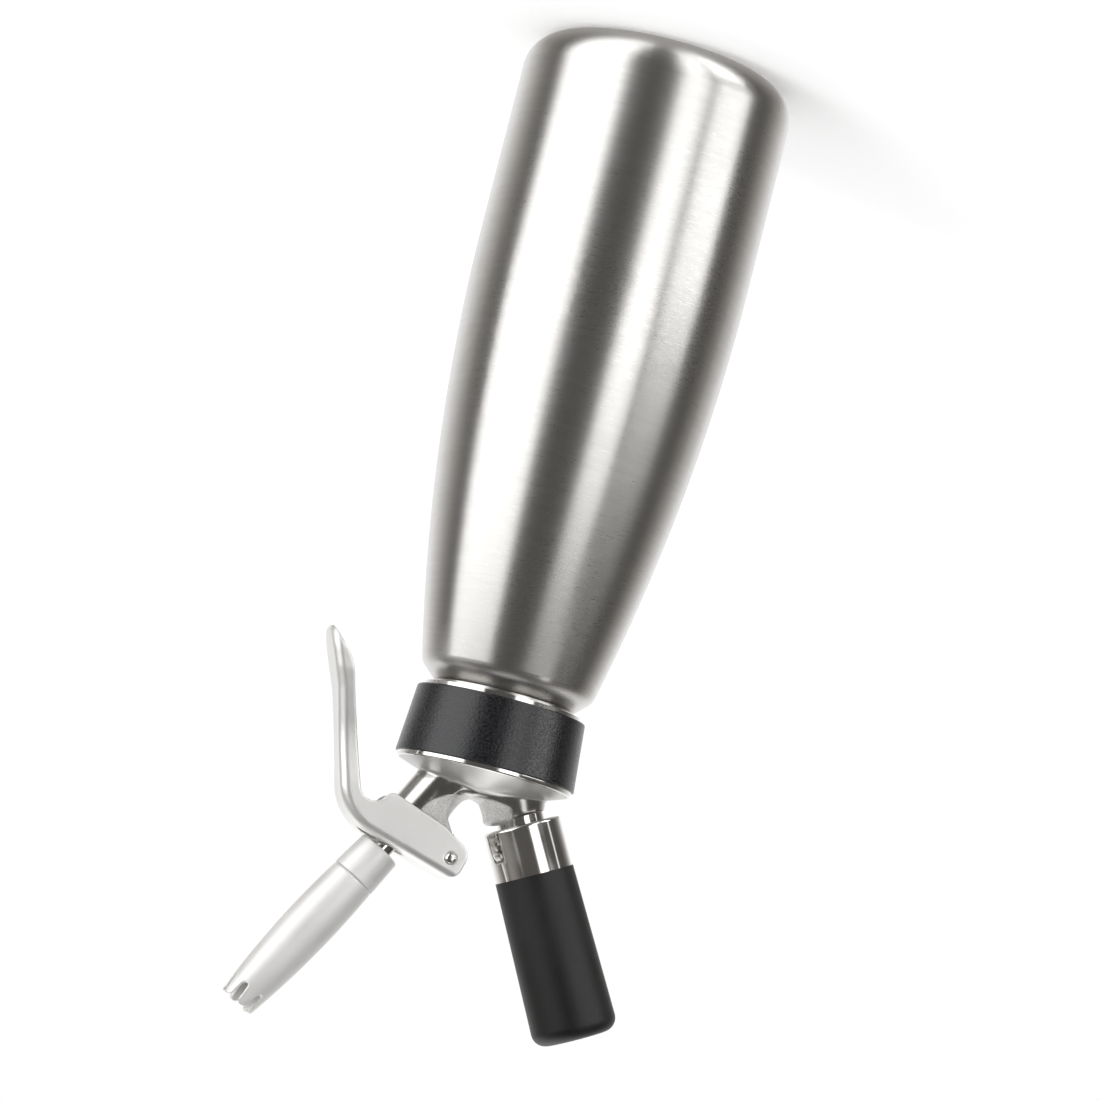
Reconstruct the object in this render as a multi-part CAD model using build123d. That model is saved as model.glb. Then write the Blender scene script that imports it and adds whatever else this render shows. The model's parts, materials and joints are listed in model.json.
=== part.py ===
from build123d import *
from math import cos, radians, sin, sqrt, tan
import os

# Whipped cream dispenser: a steel bottle closed by a screwed head casting.  The head carries two
# arms that spread from one apex on the bottle's axis, both in the XZ plane: the valve arm leans
# towards +X and holds the lever, the valve and the nozzle, and the charger arm leans towards -X and
# holds the piercing pin and the screwed holder of the gas charger.
# Millimetres.  The origin is the centre of the bottle's base, and +Z runs up through the head.
# Heights that end in _Z are measured from the base, heights that end in _RISE from the apex straight
# up, and distances that end in _AT from the apex along the arm that the piece sits on.

# ---- bottle ----
BOTTLE_RADIUS = 48.0
BOTTLE_WALL = 1.2
BASE_ROUND = 13.0  # radius of the rolled corner at the base
WAIST_Z = 70.0  # the straight side ends here and starts to draw in
WAIST_SWEEP = 696.0  # radius of the long curve that draws the side in
SHOULDER_Z = 225.5
SHOULDER_ROUND = 6.0
SHOULDER_RISE = 5.6  # height of the cone between the shoulder and the neck
NECK_RADIUS = 24.5  # outside of the drawn neck
NECK_TUBE = 1.9  # straight stub of the drawn neck, which the threaded ring is welded to

# ---- threaded neck ring ----
MOUTH_RADIUS = 21.5
NECK_RING_HEIGHT = 17.0
NECK_THREAD_ROOT = 24.0
NECK_THREAD_DEPTH = 1.1
NECK_THREAD_PITCH = 4.0
NECK_THREAD_TURNS = 2.25
NECK_THREAD_START = 3.2  # from the foot of the ring to the first turn

# ---- head: skirt, rim and dome ----
SKIRT_RADIUS = 27.9
SKIRT_OVERHANG = 0.7  # the skirt reaches this far below the foot of the threaded ring
RIM_RADIUS = 31.0
RIM_ABOVE_SEAT = 4.6  # from the gasket's seat up to the underside of the rim
RIM_HEIGHT = 1.4
RIM_ROUND = 0.7  # soft turn from the rim's side into the dome
DOME_HEIGHT = 5.3
DOME_TABLE_RADIUS = 12.0  # the dome is flat inside this radius, between the arms
DOME_BULGE = 0.9  # how far the dome stands out from the cone between the rim and its table
RECESS_RADIUS = 19.0  # shallow hollow under the dome, inside the gasket
RECESS_DEPTH = 2.7

# ---- grip ring round the skirt ----
SKIRT_SHOWING = 1.4  # polished band of the skirt that shows below the grip ring
GRIP_RING_BOTTOM_RADIUS = 29.75
GRIP_RING_TOP_RADIUS = 31.65
GRIP_RING_ROUND = 0.6

# ---- head gasket ----
GASKET_THICKNESS = 2.4
GASKET_INNER_RADIUS = 20.6

# ---- the two arms ----
APEX_BELOW_RIM = 16.3  # the arms' axes meet on the bottle's axis this far below the rim
ARM_TILT = 29.0  # degrees from the bottle's axis
VALVE_BOSS_FOOT_AT = 14.0
VALVE_BOSS_END_AT = 46.0
VALVE_BOSS_FOOT_RADIUS = 9.9
VALVE_BOSS_END_RADIUS = 8.4
CHARGER_BOSS_FOOT_AT = 14.0
CHARGER_BOSS_END_AT = 32.0
CHARGER_BOSS_FOOT_RADIUS = 12.0
CHARGER_BOSS_END_RADIUS = 9.3
BOSS_CHAMFER = 0.7

# ---- web plate between the arms, and the lug that carries the lever ----
WEB_THICKNESS = 12.0
WEB_RISE = 31.2
LUG_THICKNESS = 16.0
NOTCH_X = 2.6
NOTCH_RISE = 34.0
NOTCH_RADIUS = 6.6
NOTCH_END = 50.0  # degrees round the notch from +X, where the lug's edge leaves it
LUG_STEP = 1.3  # the lug leaves the valve boss this far below its end

# ---- lever: a pressed channel with two cheeks ----
PIVOT_X = 5.4
PIVOT_RISE = 48.8
LEVER_TILT = 16.0  # degrees that the lower arm falls below level
LEVER_SHEET = 1.5
LEVER_BACK = 6.6  # from the pivot to the outer face of the channel's back
LEVER_EDGE = 8.2  # from the pivot to the free edges of the cheeks
LEVER_EDGE_TAPER = 1.5  # the cheeks deepen by this much towards the hump
LEVER_END = 5.3  # from the pivot to the round end
LEVER_END_ROUND = 4.8
HEEL_AT = 7.3  # the cheeks draw in from here towards the round end
HEEL_RISE = 3.6  # how far they have drawn in at the end
LEVER_ELBOW = 39.6  # from the pivot to the corner where the handle turns down
LEVER_ELBOW_ROUND = 20.0
HANDLE_ANGLE = 58.3  # degrees between the lower arm and the handle
HANDLE_LENGTH = 44.0  # from the elbow corner to the start of the flared tip
HANDLE_DEPTH = 5.6  # depth of the cheeks along the handle
TIP_LENGTH = 21.5
TIP_DEPTH = 6.5  # greatest depth of the cheeks beside the tip
TIP_DEEPEST_AT = 8.0
TIP_FLARE = 6.0  # degrees that the tip turns outwards
HUMP_AT = 28.7
HUMP_ROUND = 3.0
ARMPIT_ROUND = 5.0
ARMPIT_PAST_EDGE = 1.4  # the cheeks' edge turns up this far outside the handle's edge line
ARMPIT_DROP = 1.0
LEVER_HALF_WIDTH = 11.0
HANDLE_HALF_WIDTH = 8.8
TIP_HALF_WIDTH = 12.5
TIP_ROUND = 9.0  # corner radius of the tip seen from the front
SLOT_AT = 23.0
SLOT_LENGTH = 18.4
SLOT_WIDTH = 9.6
PIN_RADIUS = 2.0
PIN_DOME = 0.5

# ---- valve ----
STEM_RADIUS = 4.0
STEM_BORE_RADIUS = 2.0
STEM_HEAD_RADIUS = 5.6
STEM_HEAD_THICKNESS = 3.0
STEM_ENGAGEMENT = 7.0  # how far the stem reaches into the nozzle's collar
SEAT_POCKET_RADIUS = 7.6
SEAL_RADIUS = 6.6
SEAL_THICKNESS = 3.0
VALVE_BORE_RADIUS = 5.6
VALVE_CHAMBER = 5.5  # from the valve's seat to the guide, where the cream enters the stem
INLET_RADIUS = 1.6
INLET_COUNT = 4
GUIDE_LENGTH = 10.0
O_RING_WIRE = 0.8  # radius of the ring's section
SPRING_POCKET_RADIUS = 6.3
SPRING_POCKET_DEPTH = 10.0
SPRING_RADIUS = 5.15
SPRING_WIRE = 0.55
SPRING_TURNS = 5.5
THRUST_NUT_RADIUS = 5.6
THRUST_NUT_THICKNESS = 2.5
THRUST_NUT_ROUND = 1.0

# ---- nozzle ----
COLLAR_LIFT = 2.15  # from the lever's back to the collar, along the arm
COLLAR_SHELF = 0.9  # wall between the seal and the nozzle's socket
COLLAR_TOP_RADIUS = 7.7
COLLAR_STEP_RADIUS = 8.3
COLLAR_ROUND = 0.8
NOZZLE_THREAD_ROOT = 3.3
NOZZLE_THREAD_DEPTH = 0.75
NOZZLE_THREAD_PITCH = 2.0
NOZZLE_THREAD_TURNS = 2.0
NOZZLE_SEAL_THICKNESS = 1.2
NOZZLE_SEAL_BORE_RADIUS = 2.3
NOZZLE_WALL = 2.2
NOZZLE_FOOT_RADIUS = 8.1
NOZZLE_BELLY_RADIUS = 8.75
NOZZLE_BELLY_REACH = 33.4  # from the start of the collar to the widest place
NOZZLE_TIP_RADIUS = 6.4
NOZZLE_REACH = 71.6  # from the start of the collar to the mouth
NOZZLE_SPIGOT_RADIUS = 6.2
NOZZLE_SPIGOT_LENGTH = 3.6
TEETH = 6
TOOTH_DEPTH = 7.0
TOOTH_GAP_ROOT = 2.2
TOOTH_GAP_TIP = 3.0
TOOTH_PHASE = -10.0  # degrees from the plane of symmetry to the first gap

# ---- gas side of the head ----
CHARGER_NECK_DEPTH = 4.5  # the charger's mouth ends up this deep in the stub
STUB_LENGTH = 12.5
UNDERCUT_RADIUS = 8.3
UNDERCUT_LENGTH = 3.2
STUB_THREAD_ROOT = 10.0
STUB_THREAD_DEPTH = 1.0
STUB_THREAD_PITCH = 2.5
STUB_THREAD_TURNS = 2.75
STUB_BORE_RADIUS = 5.0
GAS_BORE_RADIUS = 1.6
PIN_HOLDER_THICKNESS = 4.0
PIERCING_PIN_RADIUS = 0.9
PIERCING_PIN_BORE = 0.4
PIERCING_PIN_FOOT_RADIUS = 2.6
PIERCING_PIN_FOOT_THICKNESS = 1.2
PIERCING_DEPTH = 1.2
CHARGER_SEAL_THICKNESS = 2.0
CHECK_POCKET_AT = 19.5
CHECK_POCKET_RADIUS = 5.0
CHECK_VALVE_RADIUS = 4.2
CHECK_VALVE_THICKNESS = 1.6
CHECK_VALVE_STEM_RADIUS = 1.2
CHECK_VALVE_STEM_LENGTH = 5.0

# ---- gas charger, the common 8 g size ----
CHARGER_RADIUS = 9.3
CHARGER_LENGTH = 65.5
CHARGER_NECK_RADIUS = 4.4
CHARGER_NECK_LENGTH = 7.0
CHARGER_SHOULDER_LENGTH = 9.0
CHARGER_WALL = 1.3
CHARGER_CAP_THICKNESS = 0.8
CHARGER_HOLE_RADIUS = 1.25

# ---- charger holder and its grip ----
HOLDER_COLLAR_RADIUS = 13.6
HOLDER_COLLAR_ROUND = 1.0
HOLDER_LIFT = 3.1  # from the boss to the collar when the holder is screwed home
HOLDER_COLLAR_LENGTH = 17.6
HOLDER_TUBE_RADIUS = 12.0
HOLDER_FLOOR_THICKNESS = 2.0
HOLDER_GRIP_TOP_RADIUS = 13.8
HOLDER_GRIP_END_RADIUS = 14.95
HOLDER_GRIP_ROUND = 4.8
HOLDER_GRIP_FLOOR = 3.0

# ---- fits ----
BODY_GAP = 0.3  # between pieces that move apart
RUNNING_FIT = 0.05  # radial play of a shaft in its bore
PRESS_FIT = 0.02  # radial play drawn between pieces that are pressed or glued together
THREAD_GAP = 0.35  # between the crests, roots and flanks of mating threads
ROOT_OVERLAP = 0.25  # how far a thread's ridge is sunk into its core

# ---- places that follow from the sizes above ----
NECK_FOOT_Z = SHOULDER_Z + SHOULDER_RISE
NECK_RING_Z = NECK_FOOT_Z + NECK_TUBE
MOUTH_Z = NECK_RING_Z + NECK_RING_HEIGHT
GASKET_Z = MOUTH_Z + BODY_GAP
GASKET_SEAT_Z = GASKET_Z + GASKET_THICKNESS + BODY_GAP
RECESS_Z = GASKET_SEAT_Z + RECESS_DEPTH
SKIRT_BOTTOM_Z = NECK_RING_Z - SKIRT_OVERHANG
GRIP_RING_BOTTOM_Z = SKIRT_BOTTOM_Z + SKIRT_SHOWING
RIM_UNDER_Z = GASKET_SEAT_Z + RIM_ABOVE_SEAT
RIM_TOP_Z = RIM_UNDER_Z + RIM_HEIGHT
DOME_TOP_Z = RIM_TOP_Z + DOME_HEIGHT
APEX_Z = RIM_UNDER_Z - APEX_BELOW_RIM
WEB_TOP_Z = APEX_Z + WEB_RISE
NOTCH_Z = APEX_Z + NOTCH_RISE
PIVOT_Z = APEX_Z + PIVOT_RISE
STUB_FROM_AT = CHARGER_BOSS_END_AT + UNDERCUT_LENGTH
STUB_END_AT = CHARGER_BOSS_END_AT + STUB_LENGTH
CHARGER_NECK_AT = STUB_END_AT - CHARGER_NECK_DEPTH
HOLDER_TOP_AT = CHARGER_BOSS_END_AT + HOLDER_LIFT
SEAL_TOP_AT = CHARGER_NECK_AT - BODY_GAP
PIN_HOLDER_TOP_AT = SEAL_TOP_AT - CHARGER_SEAL_THICKNESS - PRESS_FIT
PIN_HOLDER_FOOT_AT = PIN_HOLDER_TOP_AT - PIN_HOLDER_THICKNESS
HOLDER_BORE_RADIUS = CHARGER_RADIUS + BODY_GAP
CHARGER_END_AT = CHARGER_NECK_AT + CHARGER_LENGTH
HOLDER_GRIP_FROM_AT = HOLDER_TOP_AT + HOLDER_COLLAR_LENGTH
HOLDER_FLOOR_AT = CHARGER_END_AT + BODY_GAP
HOLDER_END_AT = HOLDER_FLOOR_AT + HOLDER_FLOOR_THICKNESS
GRIP_END_AT = HOLDER_END_AT + PRESS_FIT + HOLDER_GRIP_FLOOR
GUIDE_TO_AT = VALVE_BOSS_END_AT - SPRING_POCKET_DEPTH
GUIDE_FROM_AT = GUIDE_TO_AT - GUIDE_LENGTH
O_RING_AT = (GUIDE_FROM_AT + GUIDE_TO_AT) / 2
SEAT_AT = GUIDE_FROM_AT - VALVE_CHAMBER
INLET_AT = SEAT_AT + VALVE_CHAMBER / 2
STEM_HEAD_TOP_AT = SEAT_AT - SEAL_THICKNESS - RUNNING_FIT
BACK_LEAN = radians(ARM_TILT - LEVER_TILT)  # between the valve arm and the lever's back
BACK_REACH = LEVER_BACK - LEVER_SHEET + PIVOT_X * sin(radians(LEVER_TILT))
BACK_AT = (BACK_REACH + PIVOT_RISE * cos(radians(LEVER_TILT))) / cos(BACK_LEAN)
THRUST_NUT_TO_AT = BACK_AT - BODY_GAP - THRUST_NUT_RADIUS / 2 * tan(BACK_LEAN)
THRUST_NUT_FROM_AT = THRUST_NUT_TO_AT - THRUST_NUT_THICKNESS
COLLAR_FROM_AT = BACK_AT + LEVER_SHEET / cos(BACK_LEAN) + COLLAR_LIFT
STEM_END_AT = COLLAR_FROM_AT + STEM_ENGAGEMENT
COLLAR_FLOOR_AT = STEM_END_AT + NOZZLE_SEAL_THICKNESS + 2 * BODY_GAP
SOCKET_AT = COLLAR_FLOOR_AT + COLLAR_SHELF
COLLAR_TO_AT = SOCKET_AT + NOZZLE_SPIGOT_LENGTH
NOZZLE_THREAD_AT = COLLAR_FROM_AT + NOZZLE_THREAD_PITCH
NOZZLE_BELLY_AT = COLLAR_FROM_AT + NOZZLE_BELLY_REACH
NOZZLE_TIP_AT = COLLAR_FROM_AT + NOZZLE_REACH
SQUARE = 90.0  # degrees


# ---- shapes that several pieces share ----
def turned(*points, rounds=None):
    """Solid of revolution about Z; points are (radius, height), rounds maps a corner to its radius."""
    radii = [0.0] * len(points)
    for corner, radius in (rounds or {}).items():
        radii[corner] = radius
    outline = FilletPolyline(*points, radius=radii, close=True)
    return revolve(Plane.XZ * make_face(outline), Axis.Z)


def tube(inner, outer, low, high):
    """Plain ring between two radii and two heights."""
    return turned((inner, low), (outer, low), (outer, high), (inner, high))


def rod(radius, low, high):
    """Plain cylinder on Z between two heights."""
    return Pos(0, 0, low) * Cylinder(radius, high - low, align=(Align.CENTER, Align.CENTER, Align.MIN))


def thread_ridge(root, crest, pitch, turns, start, root_width, crest_width):
    """Right-hand helical ridge that stands on the radius root and ends at the radius crest."""
    sunk = root - ROOT_OVERLAP if crest > root else root + ROOT_OVERLAP
    section = Polyline(
        (sunk, start - root_width / 2),
        (crest, start - crest_width / 2),
        (crest, start + crest_width / 2),
        (sunk, start + root_width / 2),
        close=True,
    )
    path = Helix(pitch, pitch * turns, root, center=(0, 0, start))
    return sweep(Plane.XZ * make_face(section), path=path, is_frenet=True)


def male_ridge(root, depth, pitch, turns, start):
    """Ridge of an outside thread; half a pitch wide at the root and a quarter at the crest."""
    return thread_ridge(root, root + depth, pitch, turns, start, pitch / 2, pitch / 4)


def female_bore_radius(root, depth):
    """Radius of the bore that a female ridge stands in, clear of the male crest."""
    return root + depth + THREAD_GAP


def female_ridge(root, depth, pitch, turns, start):
    """Ridge of the matching inside thread, half a pitch along, so that it runs in the male groove."""
    bore = female_bore_radius(root, depth)
    crest = root + THREAD_GAP
    flank = pitch / 4 / depth
    male_width_at_crest = pitch / 2 - flank * THREAD_GAP
    crest_width = pitch - male_width_at_crest - 2 * THREAD_GAP * sqrt(1 + (flank / 2) ** 2)
    root_width = crest_width + flank * (bore - crest)
    return thread_ridge(bore, crest, pitch, turns, start + pitch / 2, root_width, crest_width)


def on_valve_arm(shape):
    """Put a shape that is drawn along Z from the apex onto the valve arm."""
    return Pos(0, 0, APEX_Z) * Rot(0, ARM_TILT, 0) * shape


def on_charger_arm(shape):
    """Put a shape that is drawn along Z from the apex onto the charger arm."""
    return Pos(0, 0, APEX_Z) * Rot(0, -ARM_TILT, 0) * shape


def plate(outline, thickness):
    """Plate of an outline drawn in (x, z), centred on the plane of symmetry."""
    return extrude(Plane.XZ * make_face(outline), thickness / 2, both=True)


# ---- bottle ----
def bottle_form(inset):
    """The bottle's outline turned round, drawn in by inset on its sides and base."""
    waist_centre = BOTTLE_RADIUS - WAIST_SWEEP
    sweep_radius = WAIST_SWEEP - inset
    drop = SHOULDER_Z - WAIST_Z
    shoulder = (waist_centre + sqrt(sweep_radius**2 - drop**2), SHOULDER_Z)
    half_drop = drop / 2
    middle = (waist_centre + sqrt(sweep_radius**2 - half_drop**2), WAIST_Z + half_drop)
    base_corner = (BOTTLE_RADIUS - inset, inset)
    sides = [
        Line((0, inset), base_corner),
        Line(base_corner, (BOTTLE_RADIUS - inset, WAIST_Z)),
        ThreePointArc((BOTTLE_RADIUS - inset, WAIST_Z), middle, shoulder),
        Line(shoulder, (NECK_RADIUS - inset, NECK_FOOT_Z)),
        Line((NECK_RADIUS - inset, NECK_FOOT_Z), (NECK_RADIUS - inset, NECK_RING_Z)),
        Line((NECK_RADIUS - inset, NECK_RING_Z), (0, NECK_RING_Z)),
        Line((0, NECK_RING_Z), (0, inset)),
    ]
    face = make_face(Curve() + sides).face()
    corners = face.vertices()
    base = corners.sort_by_distance((*base_corner, 0))[0]
    face = face.fillet_2d(BASE_ROUND - inset, [base])
    turn = face.vertices().sort_by_distance((*shoulder, 0))[0]
    face = face.fillet_2d(SHOULDER_ROUND - inset, [turn])
    return revolve(Plane.XZ * face, Axis.Z)


def make_bottle():
    return bottle_form(0) - bottle_form(BOTTLE_WALL)


def make_bottle_neck():
    ring = tube(MOUTH_RADIUS, NECK_THREAD_ROOT, NECK_RING_Z, MOUTH_Z)
    return ring + male_ridge(
        NECK_THREAD_ROOT,
        NECK_THREAD_DEPTH,
        NECK_THREAD_PITCH,
        NECK_THREAD_TURNS,
        NECK_RING_Z + NECK_THREAD_START,
    )


# ---- head ----
def dome():
    """Skirt, rim and low dome as one turned solid."""
    outline = Curve() + [
        Line((0, SKIRT_BOTTOM_Z), (SKIRT_RADIUS, SKIRT_BOTTOM_Z)),
        Line((SKIRT_RADIUS, SKIRT_BOTTOM_Z), (SKIRT_RADIUS, RIM_UNDER_Z)),
        Line((SKIRT_RADIUS, RIM_UNDER_Z), (RIM_RADIUS, RIM_UNDER_Z)),
        Line((RIM_RADIUS, RIM_UNDER_Z), (RIM_RADIUS, RIM_TOP_Z)),
        SagittaArc((RIM_RADIUS, RIM_TOP_Z), (DOME_TABLE_RADIUS, DOME_TOP_Z), DOME_BULGE),
        Line((DOME_TABLE_RADIUS, DOME_TOP_Z), (0, DOME_TOP_Z)),
        Line((0, DOME_TOP_Z), (0, SKIRT_BOTTOM_Z)),
    ]
    face = make_face(outline).face()
    rim = face.vertices().sort_by_distance((RIM_RADIUS, RIM_TOP_Z, 0))[0]
    return revolve(Plane.XZ * face.fillet_2d(RIM_ROUND, [rim]), Axis.Z)


def valve_boss():
    return on_valve_arm(
        turned(
            (0, VALVE_BOSS_FOOT_AT),
            (VALVE_BOSS_FOOT_RADIUS, VALVE_BOSS_FOOT_AT),
            (VALVE_BOSS_END_RADIUS, VALVE_BOSS_END_AT - BOSS_CHAMFER),
            (VALVE_BOSS_END_RADIUS - BOSS_CHAMFER, VALVE_BOSS_END_AT),
            (0, VALVE_BOSS_END_AT),
        )
    )


def charger_boss():
    """Tapered boss, undercut neck and the core of the threaded stub."""
    return on_charger_arm(
        turned(
            (0, CHARGER_BOSS_FOOT_AT),
            (CHARGER_BOSS_FOOT_RADIUS, CHARGER_BOSS_FOOT_AT),
            (CHARGER_BOSS_END_RADIUS, CHARGER_BOSS_END_AT),
            (UNDERCUT_RADIUS, CHARGER_BOSS_END_AT),
            (UNDERCUT_RADIUS, STUB_FROM_AT),
            (STUB_THREAD_ROOT, STUB_FROM_AT),
            (STUB_THREAD_ROOT, STUB_END_AT - BOSS_CHAMFER),
            (STUB_THREAD_ROOT - BOSS_CHAMFER, STUB_END_AT),
            (0, STUB_END_AT),
        )
    )


def arm_point(tilt, along, across):
    """(x, z) of a point on an arm: along its axis from the apex, and across towards +X."""
    lean = radians(tilt)
    return (
        along * sin(lean) + across * cos(lean),
        APEX_Z + along * cos(lean) - across * sin(lean),
    )


def pivot_point(along, out):
    """(x, z) of a point on the lever: along its lower arm from the pivot, and out from the head."""
    fall = radians(LEVER_TILT)
    return (
        PIVOT_X + along * cos(fall) + out * sin(fall),
        PIVOT_Z - along * sin(fall) + out * cos(fall),
    )


def lug_end_radius():
    """The lug's round end runs inside the lever's channel."""
    return LEVER_BACK - LEVER_SHEET - BODY_GAP


def web_and_lug():
    """Cast plate between the arms, notched beside the charger arm, and the lug up to the pivot."""
    boss_top = VALVE_BOSS_END_AT - BOSS_CHAMFER
    boss_side = arm_point(ARM_TILT, boss_top, -VALVE_BOSS_END_RADIUS / 2)
    boss_flank = arm_point(ARM_TILT, boss_top - LUG_STEP, -VALVE_BOSS_END_RADIUS)
    stub_side = arm_point(-ARM_TILT, CHARGER_BOSS_END_AT - BOSS_CHAMFER, CHARGER_BOSS_END_RADIUS / 2)
    bridge = plate(
        Polyline(
            arm_point(-ARM_TILT, CHARGER_BOSS_FOOT_AT, 0),
            stub_side,
            (stub_side[0], WEB_TOP_Z),
            (boss_side[0], WEB_TOP_Z),
            arm_point(ARM_TILT, VALVE_BOSS_FOOT_AT, 0),
            close=True,
        ),
        WEB_THICKNESS,
    )
    end = lug_end_radius()
    notch_end = radians(NOTCH_END)
    lug = plate(
        Polyline(
            (NOTCH_X, NOTCH_Z - NOTCH_RADIUS),
            arm_point(ARM_TILT, VALVE_BOSS_FOOT_AT, 0),
            boss_side,
            boss_flank,
            (PIVOT_X + end * sin(radians(SQUARE / 2)), PIVOT_Z + end * cos(radians(SQUARE / 2))),
            (PIVOT_X - end, PIVOT_Z),
            (NOTCH_X + NOTCH_RADIUS * cos(notch_end), NOTCH_Z + NOTCH_RADIUS * sin(notch_end)),
            (NOTCH_X, NOTCH_Z),
            close=True,
        ),
        LUG_THICKNESS,
    )
    pivot_end = Pos(PIVOT_X, 0, PIVOT_Z) * Rot(SQUARE, 0, 0) * Cylinder(end, LUG_THICKNESS)
    notch = Pos(NOTCH_X, 0, NOTCH_Z) * Rot(SQUARE, 0, 0) * Cylinder(NOTCH_RADIUS, 2 * LUG_THICKNESS)
    return bridge + lug + pivot_end - notch


def make_head_casting():
    head = dome() + valve_boss() + charger_boss() + web_and_lug()
    thread_bore = female_bore_radius(NECK_THREAD_ROOT, NECK_THREAD_DEPTH)
    hollow = turned(
        (0, SKIRT_BOTTOM_Z),
        (thread_bore + BODY_GAP, SKIRT_BOTTOM_Z),
        (thread_bore, SKIRT_BOTTOM_Z + BODY_GAP),
        (thread_bore, GASKET_SEAT_Z),
        (RECESS_RADIUS, GASKET_SEAT_Z),
        (RECESS_RADIUS, RECESS_Z),
        (0, RECESS_Z),
    )
    valve_bores = (
        rod(SEAT_POCKET_RADIUS, 0, SEAT_AT)
        + rod(VALVE_BORE_RADIUS, 0, GUIDE_TO_AT)
        + rod(SPRING_POCKET_RADIUS, GUIDE_TO_AT, VALVE_BOSS_END_AT + BOSS_CHAMFER)
    )
    gas_bores = (
        rod(CHECK_POCKET_RADIUS, 0, CHECK_POCKET_AT)
        + rod(GAS_BORE_RADIUS, 0, PIN_HOLDER_FOOT_AT)
        + rod(STUB_BORE_RADIUS, PIN_HOLDER_FOOT_AT, STUB_END_AT + BOSS_CHAMFER)
    )
    pivot_bore = Pos(PIVOT_X, 0, PIVOT_Z) * Rot(SQUARE, 0, 0) * Cylinder(
        PIN_RADIUS + RUNNING_FIT, 2 * LUG_THICKNESS
    )
    head = head - hollow - on_valve_arm(valve_bores) - on_charger_arm(gas_bores) - pivot_bore
    skirt_thread = female_ridge(
        NECK_THREAD_ROOT,
        NECK_THREAD_DEPTH,
        NECK_THREAD_PITCH,
        NECK_THREAD_TURNS,
        NECK_RING_Z + NECK_THREAD_START,
    )
    stub_thread = male_ridge(
        STUB_THREAD_ROOT,
        STUB_THREAD_DEPTH,
        STUB_THREAD_PITCH,
        STUB_THREAD_TURNS,
        STUB_FROM_AT + STUB_THREAD_PITCH / 2,
    )
    return head + skirt_thread + on_charger_arm(stub_thread)


def make_grip_ring():
    inner = SKIRT_RADIUS + PRESS_FIT
    return turned(
        (inner, GRIP_RING_BOTTOM_Z),
        (GRIP_RING_BOTTOM_RADIUS, GRIP_RING_BOTTOM_Z),
        (GRIP_RING_TOP_RADIUS, RIM_UNDER_Z - PRESS_FIT),
        (inner, RIM_UNDER_Z - PRESS_FIT),
        rounds={1: GRIP_RING_ROUND, 2: GRIP_RING_ROUND / 2},
    )


def make_head_gasket():
    outer = NECK_THREAD_ROOT + NECK_THREAD_DEPTH
    return tube(GASKET_INNER_RADIUS, outer, GASKET_Z, GASKET_Z + GASKET_THICKNESS)


# ---- lever ----
def handle_point(along, out):
    """Lever coordinates of a point on the handle: along it from the elbow, out to its back."""
    turn = radians(HANDLE_ANGLE)
    return (
        LEVER_ELBOW + along * cos(turn) + out * sin(turn),
        LEVER_BACK - along * sin(turn) + out * cos(turn),
    )


def tip_point(along, out):
    """Lever coordinates of a point on the flared tip, along it from the handle's end."""
    start = handle_point(HANDLE_LENGTH, 0)
    turn = radians(HANDLE_ANGLE - TIP_FLARE)
    return (
        start[0] + along * cos(turn) + out * sin(turn),
        start[1] - along * sin(turn) + out * cos(turn),
    )


def lever_back_path(inset):
    """Points of the channel's back from the pivot's end to the tip, inset from its outer face."""
    elbow = radians(HANDLE_ANGLE / 2)
    flare = radians(TIP_FLARE / 2)
    return [
        (LEVER_ELBOW - inset * tan(elbow), LEVER_BACK - inset),
        handle_point(HANDLE_LENGTH + inset * tan(flare), -inset),
        tip_point(TIP_LENGTH, -inset),
    ]


def lever_side_outline():
    """Outline of a cheek seen along the pivot, in lever coordinates, with its corner rounds."""
    elbow, flare, tip = lever_back_path(0)
    edge = handle_point(0, -HANDLE_DEPTH)
    armpit = (edge[0] - ARMPIT_PAST_EDGE, edge[1] - ARMPIT_DROP)
    taper = LEVER_EDGE_TAPER / HUMP_AT
    heel_edge = LEVER_EDGE + HEEL_AT * taper
    corners = [
        ((-LEVER_END, LEVER_BACK), LEVER_END_ROUND),
        (elbow, LEVER_ELBOW_ROUND),
        (flare, LEVER_ELBOW_ROUND),
        (tip, 0),
        (tip_point(TIP_LENGTH, -LEVER_SHEET), 0),
        (tip_point(TIP_DEEPEST_AT, -TIP_DEPTH), LEVER_ELBOW_ROUND),
        (handle_point(HANDLE_LENGTH, -HANDLE_DEPTH), LEVER_ELBOW_ROUND),
        (armpit, ARMPIT_ROUND),
        ((HUMP_AT, -LEVER_EDGE - LEVER_EDGE_TAPER), HUMP_ROUND),
        ((HEEL_AT, -heel_edge), LEVER_END_ROUND),
        ((-LEVER_END, HEEL_RISE - heel_edge), LEVER_END_ROUND),
    ]
    return corners


def lever_channel_outline():
    """Outline of the space inside the channel, open past the cheeks' free edges."""
    elbow, flare, tip = lever_back_path(LEVER_SHEET)
    reach = HANDLE_LENGTH
    return [
        ((-reach, LEVER_BACK - LEVER_SHEET), 0),
        (elbow, LEVER_ELBOW_ROUND - LEVER_SHEET),
        (flare, LEVER_ELBOW_ROUND + LEVER_SHEET),
        (tip_point(TIP_LENGTH + reach, -LEVER_SHEET), 0),
        (tip_point(TIP_LENGTH + reach, -reach), 0),
        ((-reach, -reach), 0),
    ]


def lever_plate(corners, half_width):
    """Solid of an outline in lever coordinates, as wide as the lever's blank."""
    points = [pivot_point(*place) for place, _ in corners]
    outline = FilletPolyline(*points, radius=[radius for _, radius in corners], close=True)
    return plate(outline, 2 * half_width)


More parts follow.
